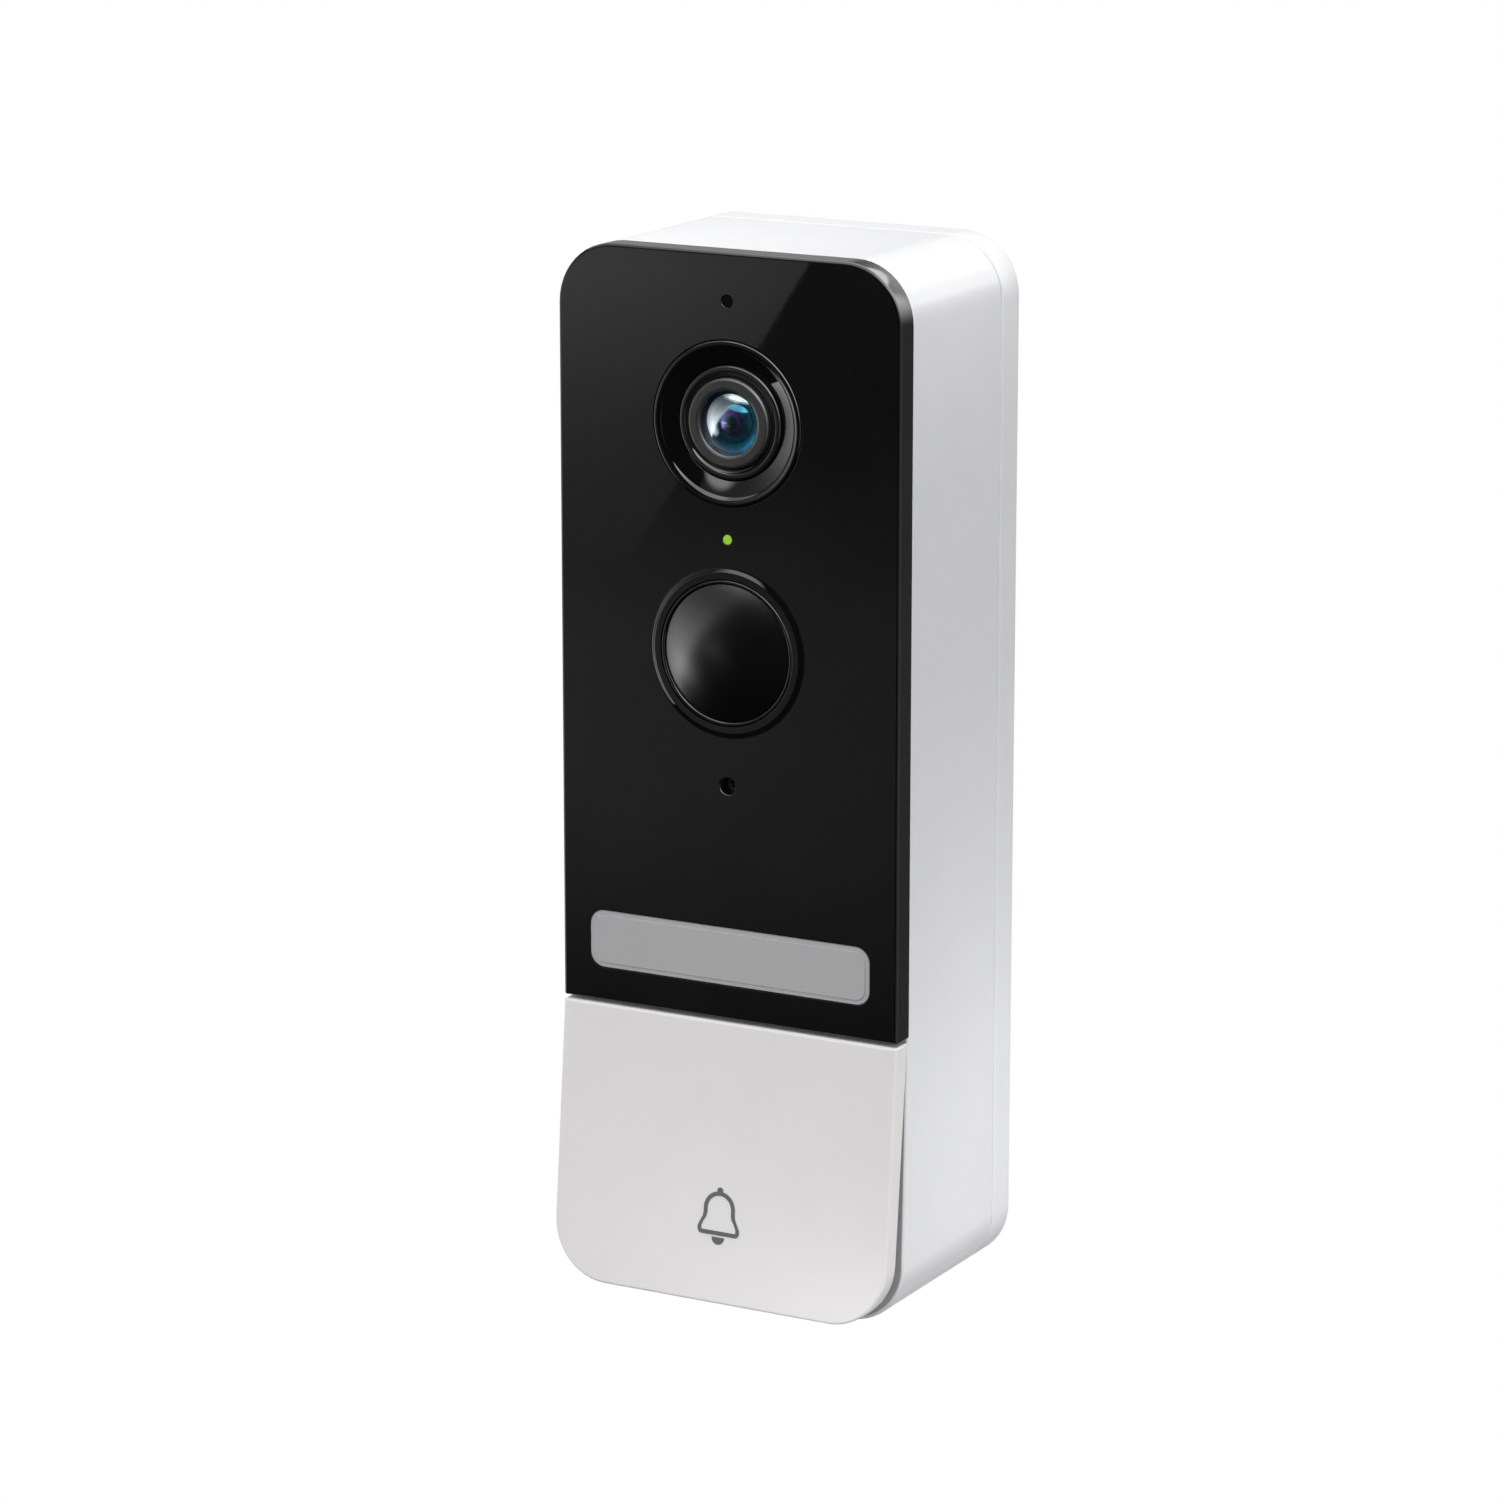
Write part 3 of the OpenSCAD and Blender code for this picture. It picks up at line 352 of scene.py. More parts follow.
class Shell:
    """Collects rings of points in millimetres and the faces between them."""

    def __init__(self):
        self.v, self.f = [], []

    def ring(self, points):
        start = len(self.v)
        self.v += [tuple(p) for p in points]
        return list(range(start, len(self.v)))

    def bridge(self, a, b):
        n = len(a)
        self.f += [(a[i], a[(i + 1) % n], b[(i + 1) % n], b[i]) for i in range(n)]

    def loft(self, rings, closed=False):
        idx = [self.ring(r) for r in rings]
        for a, b in zip(idx, idx[1:]):
            self.bridge(a, b)
        if closed:
            self.bridge(idx[-1], idx[0])
        return idx

    def fill(self, loops, height, grid=0.0):
        """Fills between closed loops of (x, z); height(x, z) gives y. grid adds inner points that far apart."""
        points, edges = [], []
        for loop in loops:
            first = len(points)
            points += [Vector(p) for p in loop]
            edges += [(first + i, first + (i + 1) % len(loop)) for i in range(len(loop))]
        if grid:
            xs, zs = [p[0] for p in loops[0]], [p[1] for p in loops[0]]
            nx, nz = int((max(xs) - min(xs)) / grid), int((max(zs) - min(zs)) / grid)
            for i in range(1, nx):
                for k in range(1, nz):
                    q = Vector((min(xs) + (max(xs) - min(xs)) * i / nx, min(zs) + (max(zs) - min(zs)) * k / nz))
                    if all(inside(q, loop) == (loop is loops[0]) and apart(q, loop) > 0.35 * grid for loop in loops):
                        points.append(q)
        got = delaunay_2d_cdt(points, edges, [], 0, 1e-5)
        start = len(self.v)
        self.v += [(p.x, height(p.x, p.y), p.y) for p in got[0]]
        for tri in got[2]:
            c = sum((got[0][i] for i in tri), Vector((0, 0))) / len(tri)
            if inside(c, loops[0]) and not any(inside(c, hole) for hole in loops[1:]):
                self.f.append(tuple(start + i for i in tri))


def inside(q, loop):
    """Whether the point q is inside the closed loop."""
    odd = False
    for (x0, z0), (x1, z1) in zip(loop, loop[1:] + loop[:1]):
        if (z0 > q[1]) != (z1 > q[1]) and q[0] < (x1 - x0) * (q[1] - z0) / (z1 - z0) + x0:
            odd = not odd
    return odd


def apart(q, loop):
    """Distance from the point q to the nearest point of the loop."""
    return min(math.hypot(q[0] - x, q[1] - z) for x, z in loop)


def outline(low, high, radii, inset=0.0, steps=12):
    """Rectangle in (x, z) with rounded corners, radii from lower right counter-clockwise."""
    sides = [(high[0], low[1], 1, -1), (high[0], high[1], 1, 1), (low[0], high[1], -1, 1), (low[0], low[1], -1, -1)]
    points = []
    for quarter, ((x, z, sx, sz), r) in enumerate(zip(sides, radii)):
        rr = max(r - inset, 0.04)
        cx, cz = x - sx * (inset + rr), z - sz * (inset + rr)
        for k in range(steps + 1):
            a = math.radians(-90 + 90 * quarter + 90 * k / steps)
            points.append((cx + rr * math.cos(a), cz + rr * math.sin(a)))
    return points


def circle(r, z, steps=64):
    """Circle in (x, z) about x = 0."""
    return [(r * math.cos(2 * math.pi * k / steps), z + r * math.sin(2 * math.pi * k / steps))
            for k in range(steps)]


def at(points, height):
    """Lifts (x, z) points to y = height, a number or a function of x and z."""
    return [(x, height(x, z) if callable(height) else height, z) for x, z in points]


def arc(r, start=0, stop=90, steps=4):
    """Pairs (sideways, forward) along a fillet of radius r."""
    return [(r * (1 - math.cos(math.radians(a))), r * (1 - math.sin(math.radians(a))))
            for a in [start + (stop - start) * k / steps for k in range(steps + 1)]]


def lathe(name, profile, z, body, material, replaces=(), steps=96, smooth=30):
    """Turns a closed profile of (radius, y) about an axis along Y."""
    s = Shell()
    s.loft([at(circle(r, z, steps), y) for r, y in profile], closed=True)
    return put(name, s.v, s.f, body, material, replaces, smooth)


def rounded(points, radius, steps=4):
    """Rounds the corners of a closed profile; radius is one number, or one per point."""
    n = len(points)
    radii = radius if isinstance(radius, (list, tuple)) else [radius] * n
    out = []
    for i, r in enumerate(radii):
        p, a, b = (Vector(points[k % n]) for k in (i, i - 1, i + 1))
        u, w = (a - p), (b - p)
        cut = min(r, u.length * 0.45, w.length * 0.45)
        if cut < 1e-4:
            out.append(tuple(p))
            continue
        s, e = p + u.normalized() * cut, p + w.normalized() * cut
        for k in range(steps + 1):
            t = k / steps
            out.append(tuple(s * (1 - t) ** 2 + p * 2 * t * (1 - t) + e * t * t))
    return out


def joined(a, b):
    """The union of two CAD nodes' meshes."""
    one, two = (bpy.data.objects.new(n + "_copy", nodes[n].data.copy()) for n in (a, b))
    for o in (one, two):
        bpy.context.scene.collection.objects.link(o)
    union = one.modifiers.new("union", "BOOLEAN")
    union.operation, union.solver, union.object = "UNION", "EXACT", two
    shape = one.evaluated_get(bpy.context.evaluated_depsgraph_get())
    me = bpy.data.meshes.new_from_object(shape)
    for o in (one, two):
        bpy.data.objects.remove(o)
    return me


KEPT_LAYERS = ("position", ".edge_verts", ".corner_vert", ".corner_edge")


def from_cad(names, name, body, material, picks, smooth=30):
    """A copy of one or two CAD nodes' mesh with its flat faces joined and chosen sharp edges rounded.
    picks is a list of (test of an edge's two ends in millimetres, radius, segments)."""
    me = joined(*names) if len(names) == 2 else nodes[names[0]].data.copy()
    me.name = name
    for layer in [a.name for a in me.attributes if a.name not in KEPT_LAYERS]:
        if me.attributes.get(layer) and not me.attributes[layer].is_required:
            me.attributes.remove(me.attributes[layer])
    bm = bmesh.new()
    bm.from_mesh(me)
    bmesh.ops.remove_doubles(bm, verts=bm.verts, dist=2e-6)
    bmesh.ops.dissolve_limit(bm, angle_limit=math.radians(0.4), verts=bm.verts, edges=bm.edges)
    for test, radius, segments in picks:
        chosen = []
        for e in bm.edges:
            if len(e.link_faces) == 2 and e.calc_face_angle(0) > math.radians(30):
                if test(*[tuple(v.co / MM) for v in e.verts]):
                    chosen.append(e)
        bmesh.ops.bevel(bm, geom=chosen, offset=radius * MM, offset_type="OFFSET", segments=segments, profile=0.5,
                        affect="EDGES", clamp_overlap=False, miter_outer="SHARP")
    bmesh.ops.remove_doubles(bm, verts=bm.verts, dist=1e-6)
    bm.to_mesh(me)
    bm.free()
    return finish_piece(name, me, body, material, names, smooth)


# ---------------------------------------------------------------- bracket and housing
OUTLINE_TOLERANCE = 0.05


def on_rim(y, tolerance=0.06):
    """Test for an edge that lies on the body's outer outline at the depth y, a number or a function of a point."""
    def outer(p):
        x, z = abs(p[0]), abs(p[2])
        dx, dz = x - (HALF_W - CORNER_R), z - (HALF_H - CORNER_R)
        far = math.hypot(dx, dz) if dx > 0 and dz > 0 else max(dx, dz)
        return far > CORNER_R - OUTLINE_TOLERANCE
    return lambda a, b: all(abs(p[1] - (y(p) if callable(y) else y)) < tolerance and outer(p) for p in (a, b))


from_cad(("wall_bracket", "bracket_rim"), "wall_bracket_shell", "bracket", "bracket",
         [(on_rim(0), 0.35, 3), (on_rim(box("bracket_rim")[0].y), 0.3, 3)])


def housing_front(p):
    """Depth of the housing's front edge: level behind the panel, leaning out behind the button."""
    return DECK_Y - HOUSING_LEAN * max(0.0, BUTTON_TOP - p[2])


housing = from_cad(("main_housing",), "housing_shell", "unit", "housing",
                   [(on_rim(REAR_Y), 0.3, 3), (on_rim(housing_front, 0.12), EDGE_R, 3)])
# painted shade: the deck behind the button and the rim round it are coloured a darker grey, which stands in for the
# shade in the gap beside the button;
# the painted faces lie below the first of these limits, and from the second to the third behind the deck
SHADE_TOP, SHADE_FRONT, SHADE_BACK = -36.0, -1.4, 0.02
housing.data.materials.append(MATERIALS["deck"])
for face in housing.data.polygons:
    depth = face.center.y / MM - DECK_Y
    if face.normal.y < -0.98 and SHADE_FRONT < depth < SHADE_BACK and face.center.z / MM < SHADE_TOP:
        face.material_index = 1


# ---------------------------------------------------------------- front panel
def bar_window(inset):
    """Outline of the light bar's window in the panel."""
    low, high = (-BAR_HALF_W, BAR_LOW.z + BAR_LIP), (BAR_HALF_W, BAR_HIGH.z - BAR_LIP)
    return outline(low, high, (BAR_R,) * 4, inset, 8)


def panel():
    """The gloss panel: front plate with its holes, and side walls down to the deck."""
    def rim(inset):
        return outline((-HALF_W, panel_low.z), (HALF_W, HALF_H), (SMALL_R, CORNER_R, CORNER_R, SMALL_R), inset)

    s = Shell()
    wall = [(PANEL_WALL, DECK_Y), (0.0, DECK_Y)] + [(i, FACE_Y + d) for i, d in arc(EDGE_R, steps=6)]
    s.loft([at(rim(inset), y) for inset, y in wall])
    s.loft([at(rim(PANEL_WALL), DECK_Y), at(rim(PANEL_WALL), PLATE_BACK)])
    front, rear = [rim(EDGE_R)], [rim(PANEL_WALL)]
    for r, z, soft in HOLES.values():
        s.loft([at(circle(r + i, z), FACE_Y + d) for i, d in arc(soft, 90, 0, 3)] + [at(circle(r, z), PLATE_BACK)])
        front.append(circle(r + soft, z))
        rear.append(circle(r, z))
    # the raised ring round the motion sensor: radius and depth from its foot, over its top, to the hole's back edge
    swell = [(PIR_SWELL_R, 0.0), (11.83, -0.006), (11.73, -0.022), (11.64, -0.05), (11.24, -0.31), (11.17, -0.335),
             (11.1, -COLLAR), (10.3, -COLLAR), (10.22, 0.03 - COLLAR), (PIR_HOLE_R, 0.1 - COLLAR),
             (PIR_HOLE_R, PLATE)]
    s.loft([at(circle(r, PIR_Z, 128), FACE_Y + d) for r, d in swell])
    front.append(circle(PIR_SWELL_R, PIR_Z, 128))
    rear.append(circle(PIR_HOLE_R, PIR_Z, 128))
    s.loft([at(bar_window(-i), FACE_Y + d) for i, d in ((0.1, 0), (0.03, 0.03), (0, 0.1))]
           + [at(bar_window(0), PLATE_BACK)])
    front.append(bar_window(-0.1))
    rear.append(bar_window(0))
    s.fill(front, lambda x, z: FACE_Y)
    s.fill(rear, lambda x, z: PLATE_BACK)
    put("front_panel_glass", s.v, s.f, "unit", "panel", ("front_panel",), 24)


panel()


# ---------------------------------------------------------------- call button
def button_face(x, z):
    """Depth of the button's front, which leans back and curves away from its top edge."""
    s = BUTTON_TOP - z
    return FACE_Y + 0.03 - (LEAN * s + s * s / (2 * ARC_R))


def button_back(x, z):
    """Depth of the button's back edge; its gap to the housing widens downwards, where the button travels most."""
    return DECK_Y - BUTTON_GAP - BACK_LEAN * (BUTTON_TOP - z)


def button_hollow(x, z):
    """Depth of the inside of the button's front wall."""
    return min(button_face(x, z) + PLATE, button_back(x, z))


def button():
    """The button's shell: front, side walls and open back."""
    def rim(inset):
        return outline((-HALF_W, button_low.z), (HALF_W, BUTTON_TOP), (CORNER_R, SMALL_R, SMALL_R, CORNER_R), inset)

    def moved(surface_y, by):
        return lambda x, z: surface_y(x, z) + by

    s = Shell()
    rings = [at(rim(inset), moved(button_back, by)) for inset, by in ((0.25, 0.0), (0.08, -0.08), (0.0, -0.3))]
    rings += [at(rim(inset), moved(button_face, by)) for inset, by in arc(EDGE_R, steps=6)]
    s.loft(rings)
    s.fill([rim(EDGE_R)], button_face, grid=2.0)
    inner = rim(BUTTON_WALL)
    s.loft([rings[0], at(inner, button_back), at(inner, button_hollow)])
    s.fill([inner], button_hollow, grid=3.0)

    def leaning(p):
        """The true normal of the button's front at a point of it."""
        if abs(p[1] - button_face(p[0], p[2])) < 0.002:
            return Vector((0, -1, LEAN + (BUTTON_TOP - p[2]) / ARC_R)).normalized()

    put("button_cover_shell", s.v, s.f, "button", "button", ("button_cover",), 40, leaning)


button()

# ---------------------------------------------------------------- camera of the doorbell
lathe("camera_bezel_ring", rounded([
    (8.0, DECK_Y), (12.6, DECK_Y), (12.6, PLATE_BACK), (11.35, PLATE_BACK), (11.35, FACE_Y + 0.05),
    (11.2, FACE_Y - 0.2), (10.75, FACE_Y - 0.24), (10.35, FACE_Y - 0.06), (10.15, FACE_Y + 0.1), (8.0, FACE_Y + 0.95),
], [0, 0.1, 0.1, 0, 0.15, 0.15, 0.2, 0.15, 0.12, 0.05]), CAMERA_Z, "unit", "bezel", ("camera_bezel",),
      160)
lathe("lens_barrel_body", rounded([
    (7.1, FACE_Y + 0.6), (7.6, FACE_Y + 0.6), (7.85, FACE_Y + 0.85), (7.85, FACE_Y + 4.4), (6.0, FACE_Y + 5.2),
    (6.0, FACE_Y + 13.0), (3.6, FACE_Y + 13.0), (3.6, FACE_Y + 3.4), (2.5, FACE_Y + 3.4), (2.5, FACE_Y + 2.9),
    (6.25, FACE_Y + 2.9), (6.25, FACE_Y + 1.15), (6.45, FACE_Y + 0.95), (6.8, FACE_Y + 0.85),
], [0.12, 0.12, 0.12, 0.1, 0, 0, 0, 0, 0, 0, 0, 0.05, 0.2, 0.2]), CAMERA_Z, "unit", "barrel", ("lens_barrel",),
      160)
lathe("lens_ring_cap", rounded([
    (4.6, FACE_Y + 0.15), (4.85, FACE_Y + 0.05), (5.9, FACE_Y + 0.05), (6.2, FACE_Y + 0.35), (6.2, FACE_Y + 2.85),
    (3.8, FACE_Y + 2.85), (3.8, FACE_Y + 2.2), (4.4, FACE_Y + 2.2), (4.4, FACE_Y + 0.3),
], [0.08, 0.1, 0.15, 0.12, 0, 0, 0, 0, 0.12]), CAMERA_Z, "unit", "lens_ring", ("lens_ring",), 160)


def bowl(r_out, y_out, r_in, y_in, bulge, steps=10):
    """Profile from an outer to an inner radius, sagging by bulge in the middle."""
    out = []
    for k in range(steps + 1):
        t = k / steps
        out.append((r_out + (r_in - r_out) * t, y_out + (y_in - y_out) * t + bulge * 4 * t * (1 - t)))
    return out


def cap(r, apex, sphere_r, steps=14):
    """Profile of a spherical cap from its middle, at the depth apex, to radius r."""
    edge = math.asin(r / sphere_r)
    return [(max(sphere_r * math.sin(edge * k / steps), 1e-4), apex + sphere_r * (1 - math.cos(edge * k / steps)))
            for k in range(steps + 1)]


def element(name, front, back, material, replaces=()):
    """A lens element turned from its front and back profiles, both from the middle out."""
    return lathe(name, front + back[::-1], CAMERA_Z, "unit", material, replaces, 128, 50)


element("lens_front_glass_cap", cap(4.36, FACE_Y - 0.24, 8.5), cap(4.36, FACE_Y + 0.36, 7.6), "glass",
        ("lens_front_glass",))
blue = bowl(4.3, FACE_Y + 1.74, 2.75, FACE_Y + 2.1, 0.03)
element("lens_second_element", blue[::-1], [(2.75, FACE_Y + 2.14), (4.3, FACE_Y + 2.14)], "coat_blue")
element("lens_third_element", cap(2.72, FACE_Y + 0.98, 4.2), [(1e-4, FACE_Y + 2.12), (2.72, FACE_Y + 2.12)],
        "coat_violet")

# ---------------------------------------------------------------- motion sensor
lathe("pir_bezel_ring", rounded([
    (9.62, FACE_Y - COLLAR + 0.12), (9.75, FACE_Y - COLLAR), (10.0, FACE_Y - COLLAR), (10.12, FACE_Y - COLLAR + 0.12),
    (10.12, FACE_Y + 2.25), (11.8, FACE_Y + 2.25), (11.8, FACE_Y + 2.85), (9.62, FACE_Y + 2.85),
], 0.06), PIR_Z, "unit", "bezel", ("pir_bezel",), 128)


def pir_dome():
    """A thin domed front on a tube with a flange behind the panel."""
    bulge, r, inner_r, wall = 2.0, 9.5, 8.6, 0.8
    apex = FACE_Y + 0.2 - COLLAR - bulge
    sphere = (r * r + bulge * bulge) / (2 * bulge)
    profile = cap(r, apex, sphere, 24)
    profile += [(r, FACE_Y + 2.9), (11.2, FACE_Y + 2.9), (11.2, DECK_Y), (inner_r, DECK_Y), (inner_r, FACE_Y + 1.2)]
    profile += cap(inner_r, apex + wall, sphere - wall, 12)[::-1]
    lathe("pir_dome_lens", profile, PIR_Z, "unit", "pir", ("pir_lens",), 128)


pir_dome()


# ---------------------------------------------------------------- light bar
def light_bar():
    """The diffuser: a flat front with a shallow step round it, on a flange behind the panel."""
    flange = outline((BAR_LOW.x, BAR_LOW.z), (BAR_HIGH.x, BAR_HIGH.z), (BAR_FLANGE_R,) * 4, 0, 8)
    flat_from = 0.9
    s = Shell()
    rings = [at(flange, DECK_Y), at(flange, PLATE_BACK)]
    for inset, d in ((0.05, PLATE), (0.05, 0.28), (0.12, 0.2), (0.62, 0.2), (0.66, 0.22), (0.72, 0.1), (0.76, 0.03),
                     (flat_from, 0.0)):
        rings.append(at(bar_window(inset), FACE_Y + d))
    s.loft(rings)
    s.fill([bar_window(flat_from)], lambda x, z: FACE_Y)
    s.fill([flange], lambda x, z: DECK_Y)
    put("spotlight_lens", s.v, s.f, "unit", "diffuser", ("spotlight_diffuser",), 30)


light_bar()

# ---------------------------------------------------------------- CAD nodes that stay, by material
STAYS = {
    "back": ["back_plate"],
    "steel": ["back_plate_screws", "board_screws", "button_hinge_pins", "pir_sensor", "microphone", "chip_shield"],
    "rubber": ["rear_seal", "panel_adhesive", "microphone_boot", "speaker_gasket", "speaker_cone"],
    "optic_black": ["lens_holder", "ir_cut_frame"],
    "filter": ["ir_cut_filters"],
    "board": ["ir_led_ring", "front_board", "button_board", "main_board"],
    "clear_dark": ["ir_leds", "image_sensor", "pir_window", "ambient_light_sensor"],
    "port": ["ambient_light_pipe"],
    "copper": ["ir_cut_motor"],
    "chip": ["main_board_chips", "button_switch"],
    "grey_plastic": ["pir_holder", "battery_bay", "terminal_block", "reset_button"],
    "green": ["status_light_pipe"],
    "phosphor": ["status_led", "spotlight_leds"],
    "reflector": ["spotlight_reflector"],
    "icon": ["bell_icon"],
    "orange": ["battery_latch"],
    "dark_plastic": ["button_switch_plunger", "speaker_frame", "battery_case"],
    "brass": ["wifi_antenna", "battery_contacts"],
    "wrap": ["battery_cells"],
    "coat_blue": ["lens_inner_glass"],
}
for material, names in STAYS.items():
    for n in names:
        nodes[n].data.materials.clear()
        nodes[n].data.materials.append(MATERIALS[material])


# ---------------------------------------------------------------- pieces that flex as a joint moves, copied as they are, without flexing
def flexing(name, node, body, material):
    """A copy of a CAD node with the given material, riding on a body in the node's place."""
    o = bpy.data.objects.new(name, nodes[node].data.copy())
    bpy.context.scene.collection.objects.link(o)
    o.matrix_world = nodes[node].matrix_world
    o.data.materials.clear()
    o.data.materials.append(MATERIALS[material])
    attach(o, body)
    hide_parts(node)
    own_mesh(o)


flexing("button_return_springs", "button_springs", "unit", "steel")
flexing("button_dome_boot", "button_boot", "unit", "grey_rubber")
flexing("battery_latch_spring", "latch_spring", "unit", "steel")
flexing("bracket_catch_leaf", "bracket_clip", "bracket", "steel")

# ---------------------------------------------------------------- stage and light
bpy.context.scene.view_settings.view_transform = "Standard"
world = bpy.data.worlds.new("studio")
bpy.context.scene.world = world
world.use_nodes = True
wn, wl = world.node_tree.nodes, world.node_tree.links
wn.clear()
# where the photograph was taken from, in millimetres: sideways, up, and away from the panel's face
PHOTO_X, PHOTO_Z, PHOTO_AWAY = 351.84, 180.07, 634.8
SHINE_BASE, BACKDROP = 0.012, 1.6
SOFT_BASE, SOFT_TOP, SOFT_FRONT, SOFT_RIGHT = 0.46, 0.12, 1.33, 0.27


def math_node(op, a, b=None, c=None, clamp=False):
    """A maths node of the world; a, b and c are numbers or other nodes' outputs."""
    n = wn.new("ShaderNodeMath")
    n.operation = op
    n.use_clamp = clamp
    for i, v in enumerate((a, b, c)):
        if v is None:
            continue
        if isinstance(v, (int, float)):
            n.inputs[i].default_value = v
        else:
            wl.new(v, n.inputs[i])
    return n.outputs[0]


def ramp_node(value, low, high, to_low=0.0, to_high=1.0):
    """Smooth step of a value between low and high, from to_low to to_high."""
    n = wn.new("ShaderNodeMapRange")
    n.interpolation_type = "SMOOTHSTEP"
    for socket, v in (("From Min", low), ("From Max", high), ("To Min", to_low), ("To Max", to_high)):
        n.inputs[socket].default_value = v
    wl.new(value, n.inputs["Value"])
    return n.outputs["Result"]


def product(*values):
    return reduce(lambda a, b: math_node("MULTIPLY", a, b), values)


def total(*values):
    return reduce(lambda a, b: math_node("ADD", a, b), values)


def panel_light(dx, dy, dz):
    """What the flat panel mirrors in the photograph's view, laid out in millimetres on the panel."""
    forward = math_node("MAXIMUM", product(dy, -1.0), 0.001)
    px = math_node("MULTIPLY_ADD", math_node("DIVIDE", dx, forward), PHOTO_AWAY, PHOTO_X)
    pz = math_node("MULTIPLY_ADD", math_node("DIVIDE", dz, forward), PHOTO_AWAY, PHOTO_Z)
    ahead = product(ramp_node(dy, -0.80, -0.74, 1.0, 0.0), ramp_node(dx, -0.66, -0.60),
                    ramp_node(dx, -0.40, -0.34, 1.0, 0.0))
    glow = product(ramp_node(pz, -45, 5), ramp_node(pz, 15, 55, 1.0, 0.15), ramp_node(px, -60, 60, 0.42, 0.145))
    # the bright corner lies above a slanting line and grows with height
    line = total(product(px, -0.8404), product(pz, 0.5420), -29.35)
    rise = math_node("POWER", math_node("MULTIPLY", total(pz, -26.0), 1 / 44, clamp=True), 1.35)
    corner = product(ramp_node(line, -0.2, 0.2), rise, ramp_node(px, -64, 50, 1.28, 0.32),
                     ramp_node(pz, 80, 95, 1.0, 0.0))
    return product(ahead, total(glow, corner, 0.03))


def left_light(dx, dy, dz):
    """A tall box on the left with a slanting edge, brighter low down, and a small lamp low beside it."""
    edge = total(product(dx, -0.543), product(dy, 0.480), product(dz, 0.688))
    low = math_node("MULTIPLY_ADD", dz, -1 / 1.05, 0.5 / 1.05, clamp=True)
    tall = product(ramp_node(edge, -0.004, 0.004), total(0.3, product(low, low, 6.4)),
                   ramp_node(dx, -0.25, -0.05, 1.0, 0.0), ramp_node(dy, -0.36, -0.18, 1.0, 0.3))
    aim = Vector((-0.81, -0.46, -0.36)).normalized()
    along = total(product(dx, aim.x), product(dy, aim.y), product(dz, aim.z))
    lamp = ramp_node(along, math.cos(math.radians(9)), math.cos(math.radians(3)), 0.0, 1.7)
    return total(tall, lamp)


def top_light(dx, dy, dz):
    """A wide box overhead, brighter on the right, where it also reaches down to the side."""
    above = product(ramp_node(dz, 0.50, 0.54), ramp_node(dx, 0.0, 0.4, 3.6, 6.5),
                    ramp_node(dx, -0.54, -0.42, 0.45, 1.0))
    beside = product(ramp_node(dz, -0.1, 0.50), ramp_node(dz, 0.50, 0.54, 1.0, 0.0),
                     ramp_node(dx, 0.35, 0.5, 0.0, 4.5), ramp_node(dy, -0.60, -0.53))
    return total(above, beside)


def back_light(dx, dy, dz):
    """Light from behind the doorbell, most of it high on the right."""
    high = product(ramp_node(dz, -0.15, 0.35), ramp_node(dx, -0.4, 0.15, 0.1, 2.4))
    return product(ramp_node(dy, 0.1, 0.6), total(0.2, high))


def studio():
    """Background by direction: boxes of light that gloss and glass reflect, an even light for the rest, and a
    plain bright backdrop."""
    coords = wn.new("ShaderNodeTexCoord")
    split = wn.new("ShaderNodeSeparateXYZ")
    wl.new(coords.outputs["Generated"], split.inputs[0])
    dx, dy, dz = split.outputs
    right = product(ramp_node(dx, 0.55, 0.85), ramp_node(dz, -0.6, -0.4), 0.7)
    shine = total(SHINE_BASE, panel_light(dx, dy, dz), left_light(dx, dy, dz), top_light(dx, dy, dz), right,
                  back_light(dx, dy, dz))
    soft = total(SOFT_BASE, ramp_node(dz, -0.2, 0.9, 0.0, SOFT_TOP), ramp_node(dy, -0.9, 0.2, SOFT_FRONT, 0.0),
                 ramp_node(dx, 0.0, 0.8, 0.0, SOFT_RIGHT))
    paths = wn.new("ShaderNodeLightPath")
    sharp = math_node("MAXIMUM", paths.outputs["Is Glossy Ray"], paths.outputs["Is Transmission Ray"])
    fill = wn.new("ShaderNodeMix")
    wl.new(sharp, fill.inputs["Factor"])
    wl.new(soft, fill.inputs["A"])
    wl.new(shine, fill.inputs["B"])
    seen = wn.new("ShaderNodeMix")
    wl.new(paths.outputs["Is Camera Ray"], seen.inputs["Factor"])
    wl.new(fill.outputs["Result"], seen.inputs["A"])
    seen.inputs["B"].default_value = BACKDROP
    background = wn.new("ShaderNodeBackground")
    wl.new(seen.outputs["Result"], background.inputs["Strength"])
    output = wn.new("ShaderNodeOutputWorld")
    wl.new(background.outputs[0], output.inputs[0])


studio()


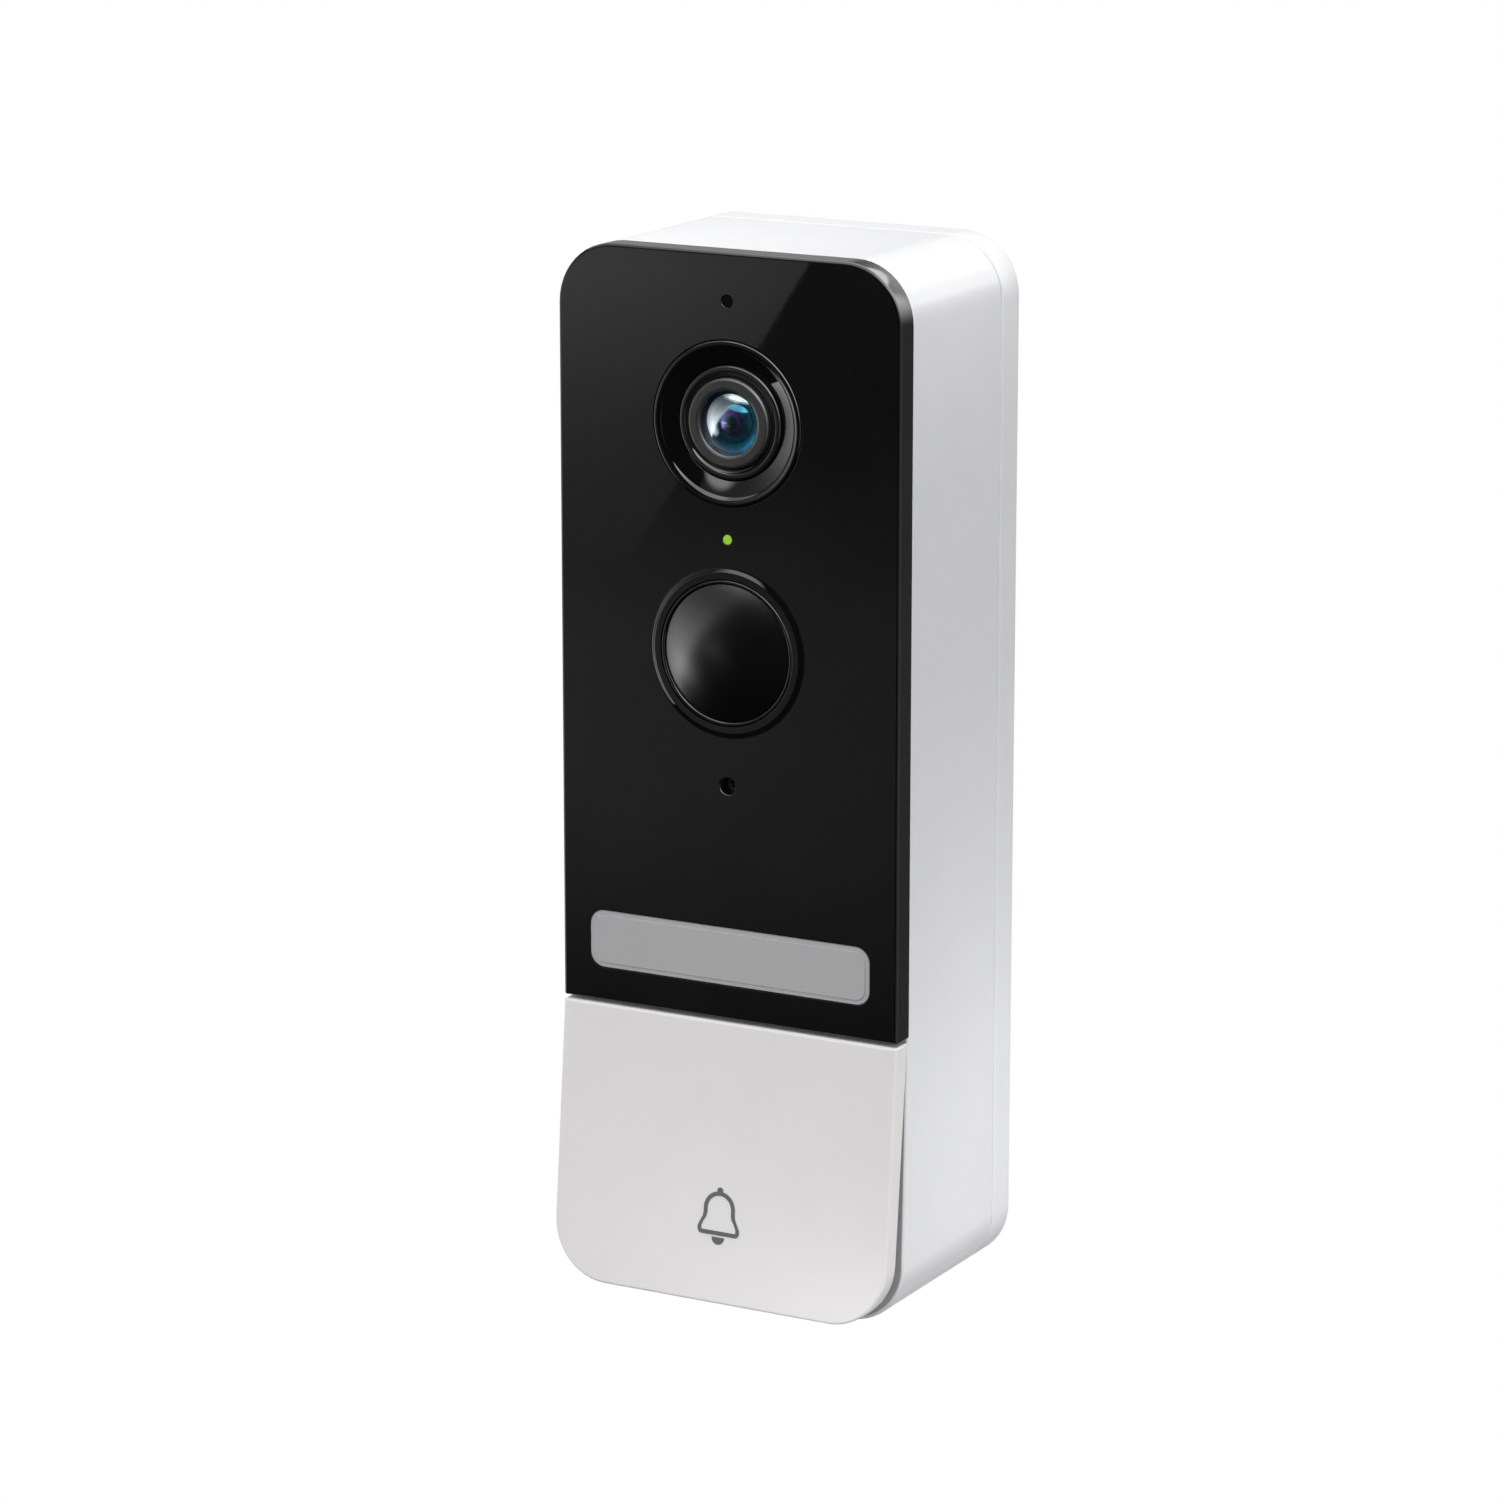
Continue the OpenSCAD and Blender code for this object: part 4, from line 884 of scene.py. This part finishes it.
def area(name, place, target, size, power):
    """A small area light at place, facing target; it lights surfaces but isn't seen or mirrored."""
    data = bpy.data.lights.new(name, "AREA")
    data.shape, data.size, data.size_y = "RECTANGLE", *size
    data.energy = power
    o = bpy.data.objects.new(name, data)
    bpy.context.scene.collection.objects.link(o)
    o.location = place
    o.rotation_mode = "QUATERNION"
    o.rotation_quaternion = (Vector(target) - Vector(place)).to_track_quat("-Z", "Y")
    o.visible_glossy = o.visible_camera = False


area("top_left", (-0.015, -0.035, 0.12), (-0.005, -0.025, 0.074), (0.02, 0.02), 0.007)
area("low_right", (0.088, -0.008, -0.055), (0.026, -0.018, -0.055), (0.05, 0.015), 0.0165)
area("low_front", (0.012, -0.056, -0.0725), (0.006, -0.04, -0.070), (0.06, 0.003), 0.0010)
area("high_right", (0.048, -0.018, 0.078), (0.026, -0.018, 0.066), (0.05, 0.004), 0.002)
area("rear", (-0.02, 0.5, 0.08), (0, 0, 0), (0.04, 0.04), 0.75)


def floor_material():
    """Plain pale grey for the light that falls on it, and even white to the eye."""
    m, ns, ls = node_tree("pale_floor")
    grey = ns["Principled BSDF"]
    grey.inputs["Base Color"].default_value = (0.17, 0.17, 0.173, 1)
    grey.inputs["Roughness"].default_value = 0.9
    white = ns.new("ShaderNodeEmission")
    white.inputs["Strength"].default_value = 1.0
    path = ns.new("ShaderNodeLightPath")
    mix = ns.new("ShaderNodeMixShader")
    ls.new(path.outputs["Is Camera Ray"], mix.inputs[0])
    ls.new(grey.outputs[0], mix.inputs[1])
    ls.new(white.outputs[0], mix.inputs[2])
    ls.new(mix.outputs[0], ns["Material Output"].inputs["Surface"])
    return m


FLOOR_Z, FLOOR_REACH = -HALF_H * MM - 0.0002, 30.0
floor_mesh = bpy.data.meshes.new("floor")
corners = [(sx * FLOOR_REACH, sy * FLOOR_REACH, FLOOR_Z) for sx, sy in ((-1, -1), (1, -1), (1, 1), (-1, 1))]
floor_mesh.from_pydata(corners, [], [(0, 1, 2, 3)])
floor_mesh.materials.append(floor_material())
floor = bpy.data.objects.new("floor", floor_mesh)
bpy.context.scene.collection.objects.link(floor)
floor.visible_glossy = floor.visible_transmission = False
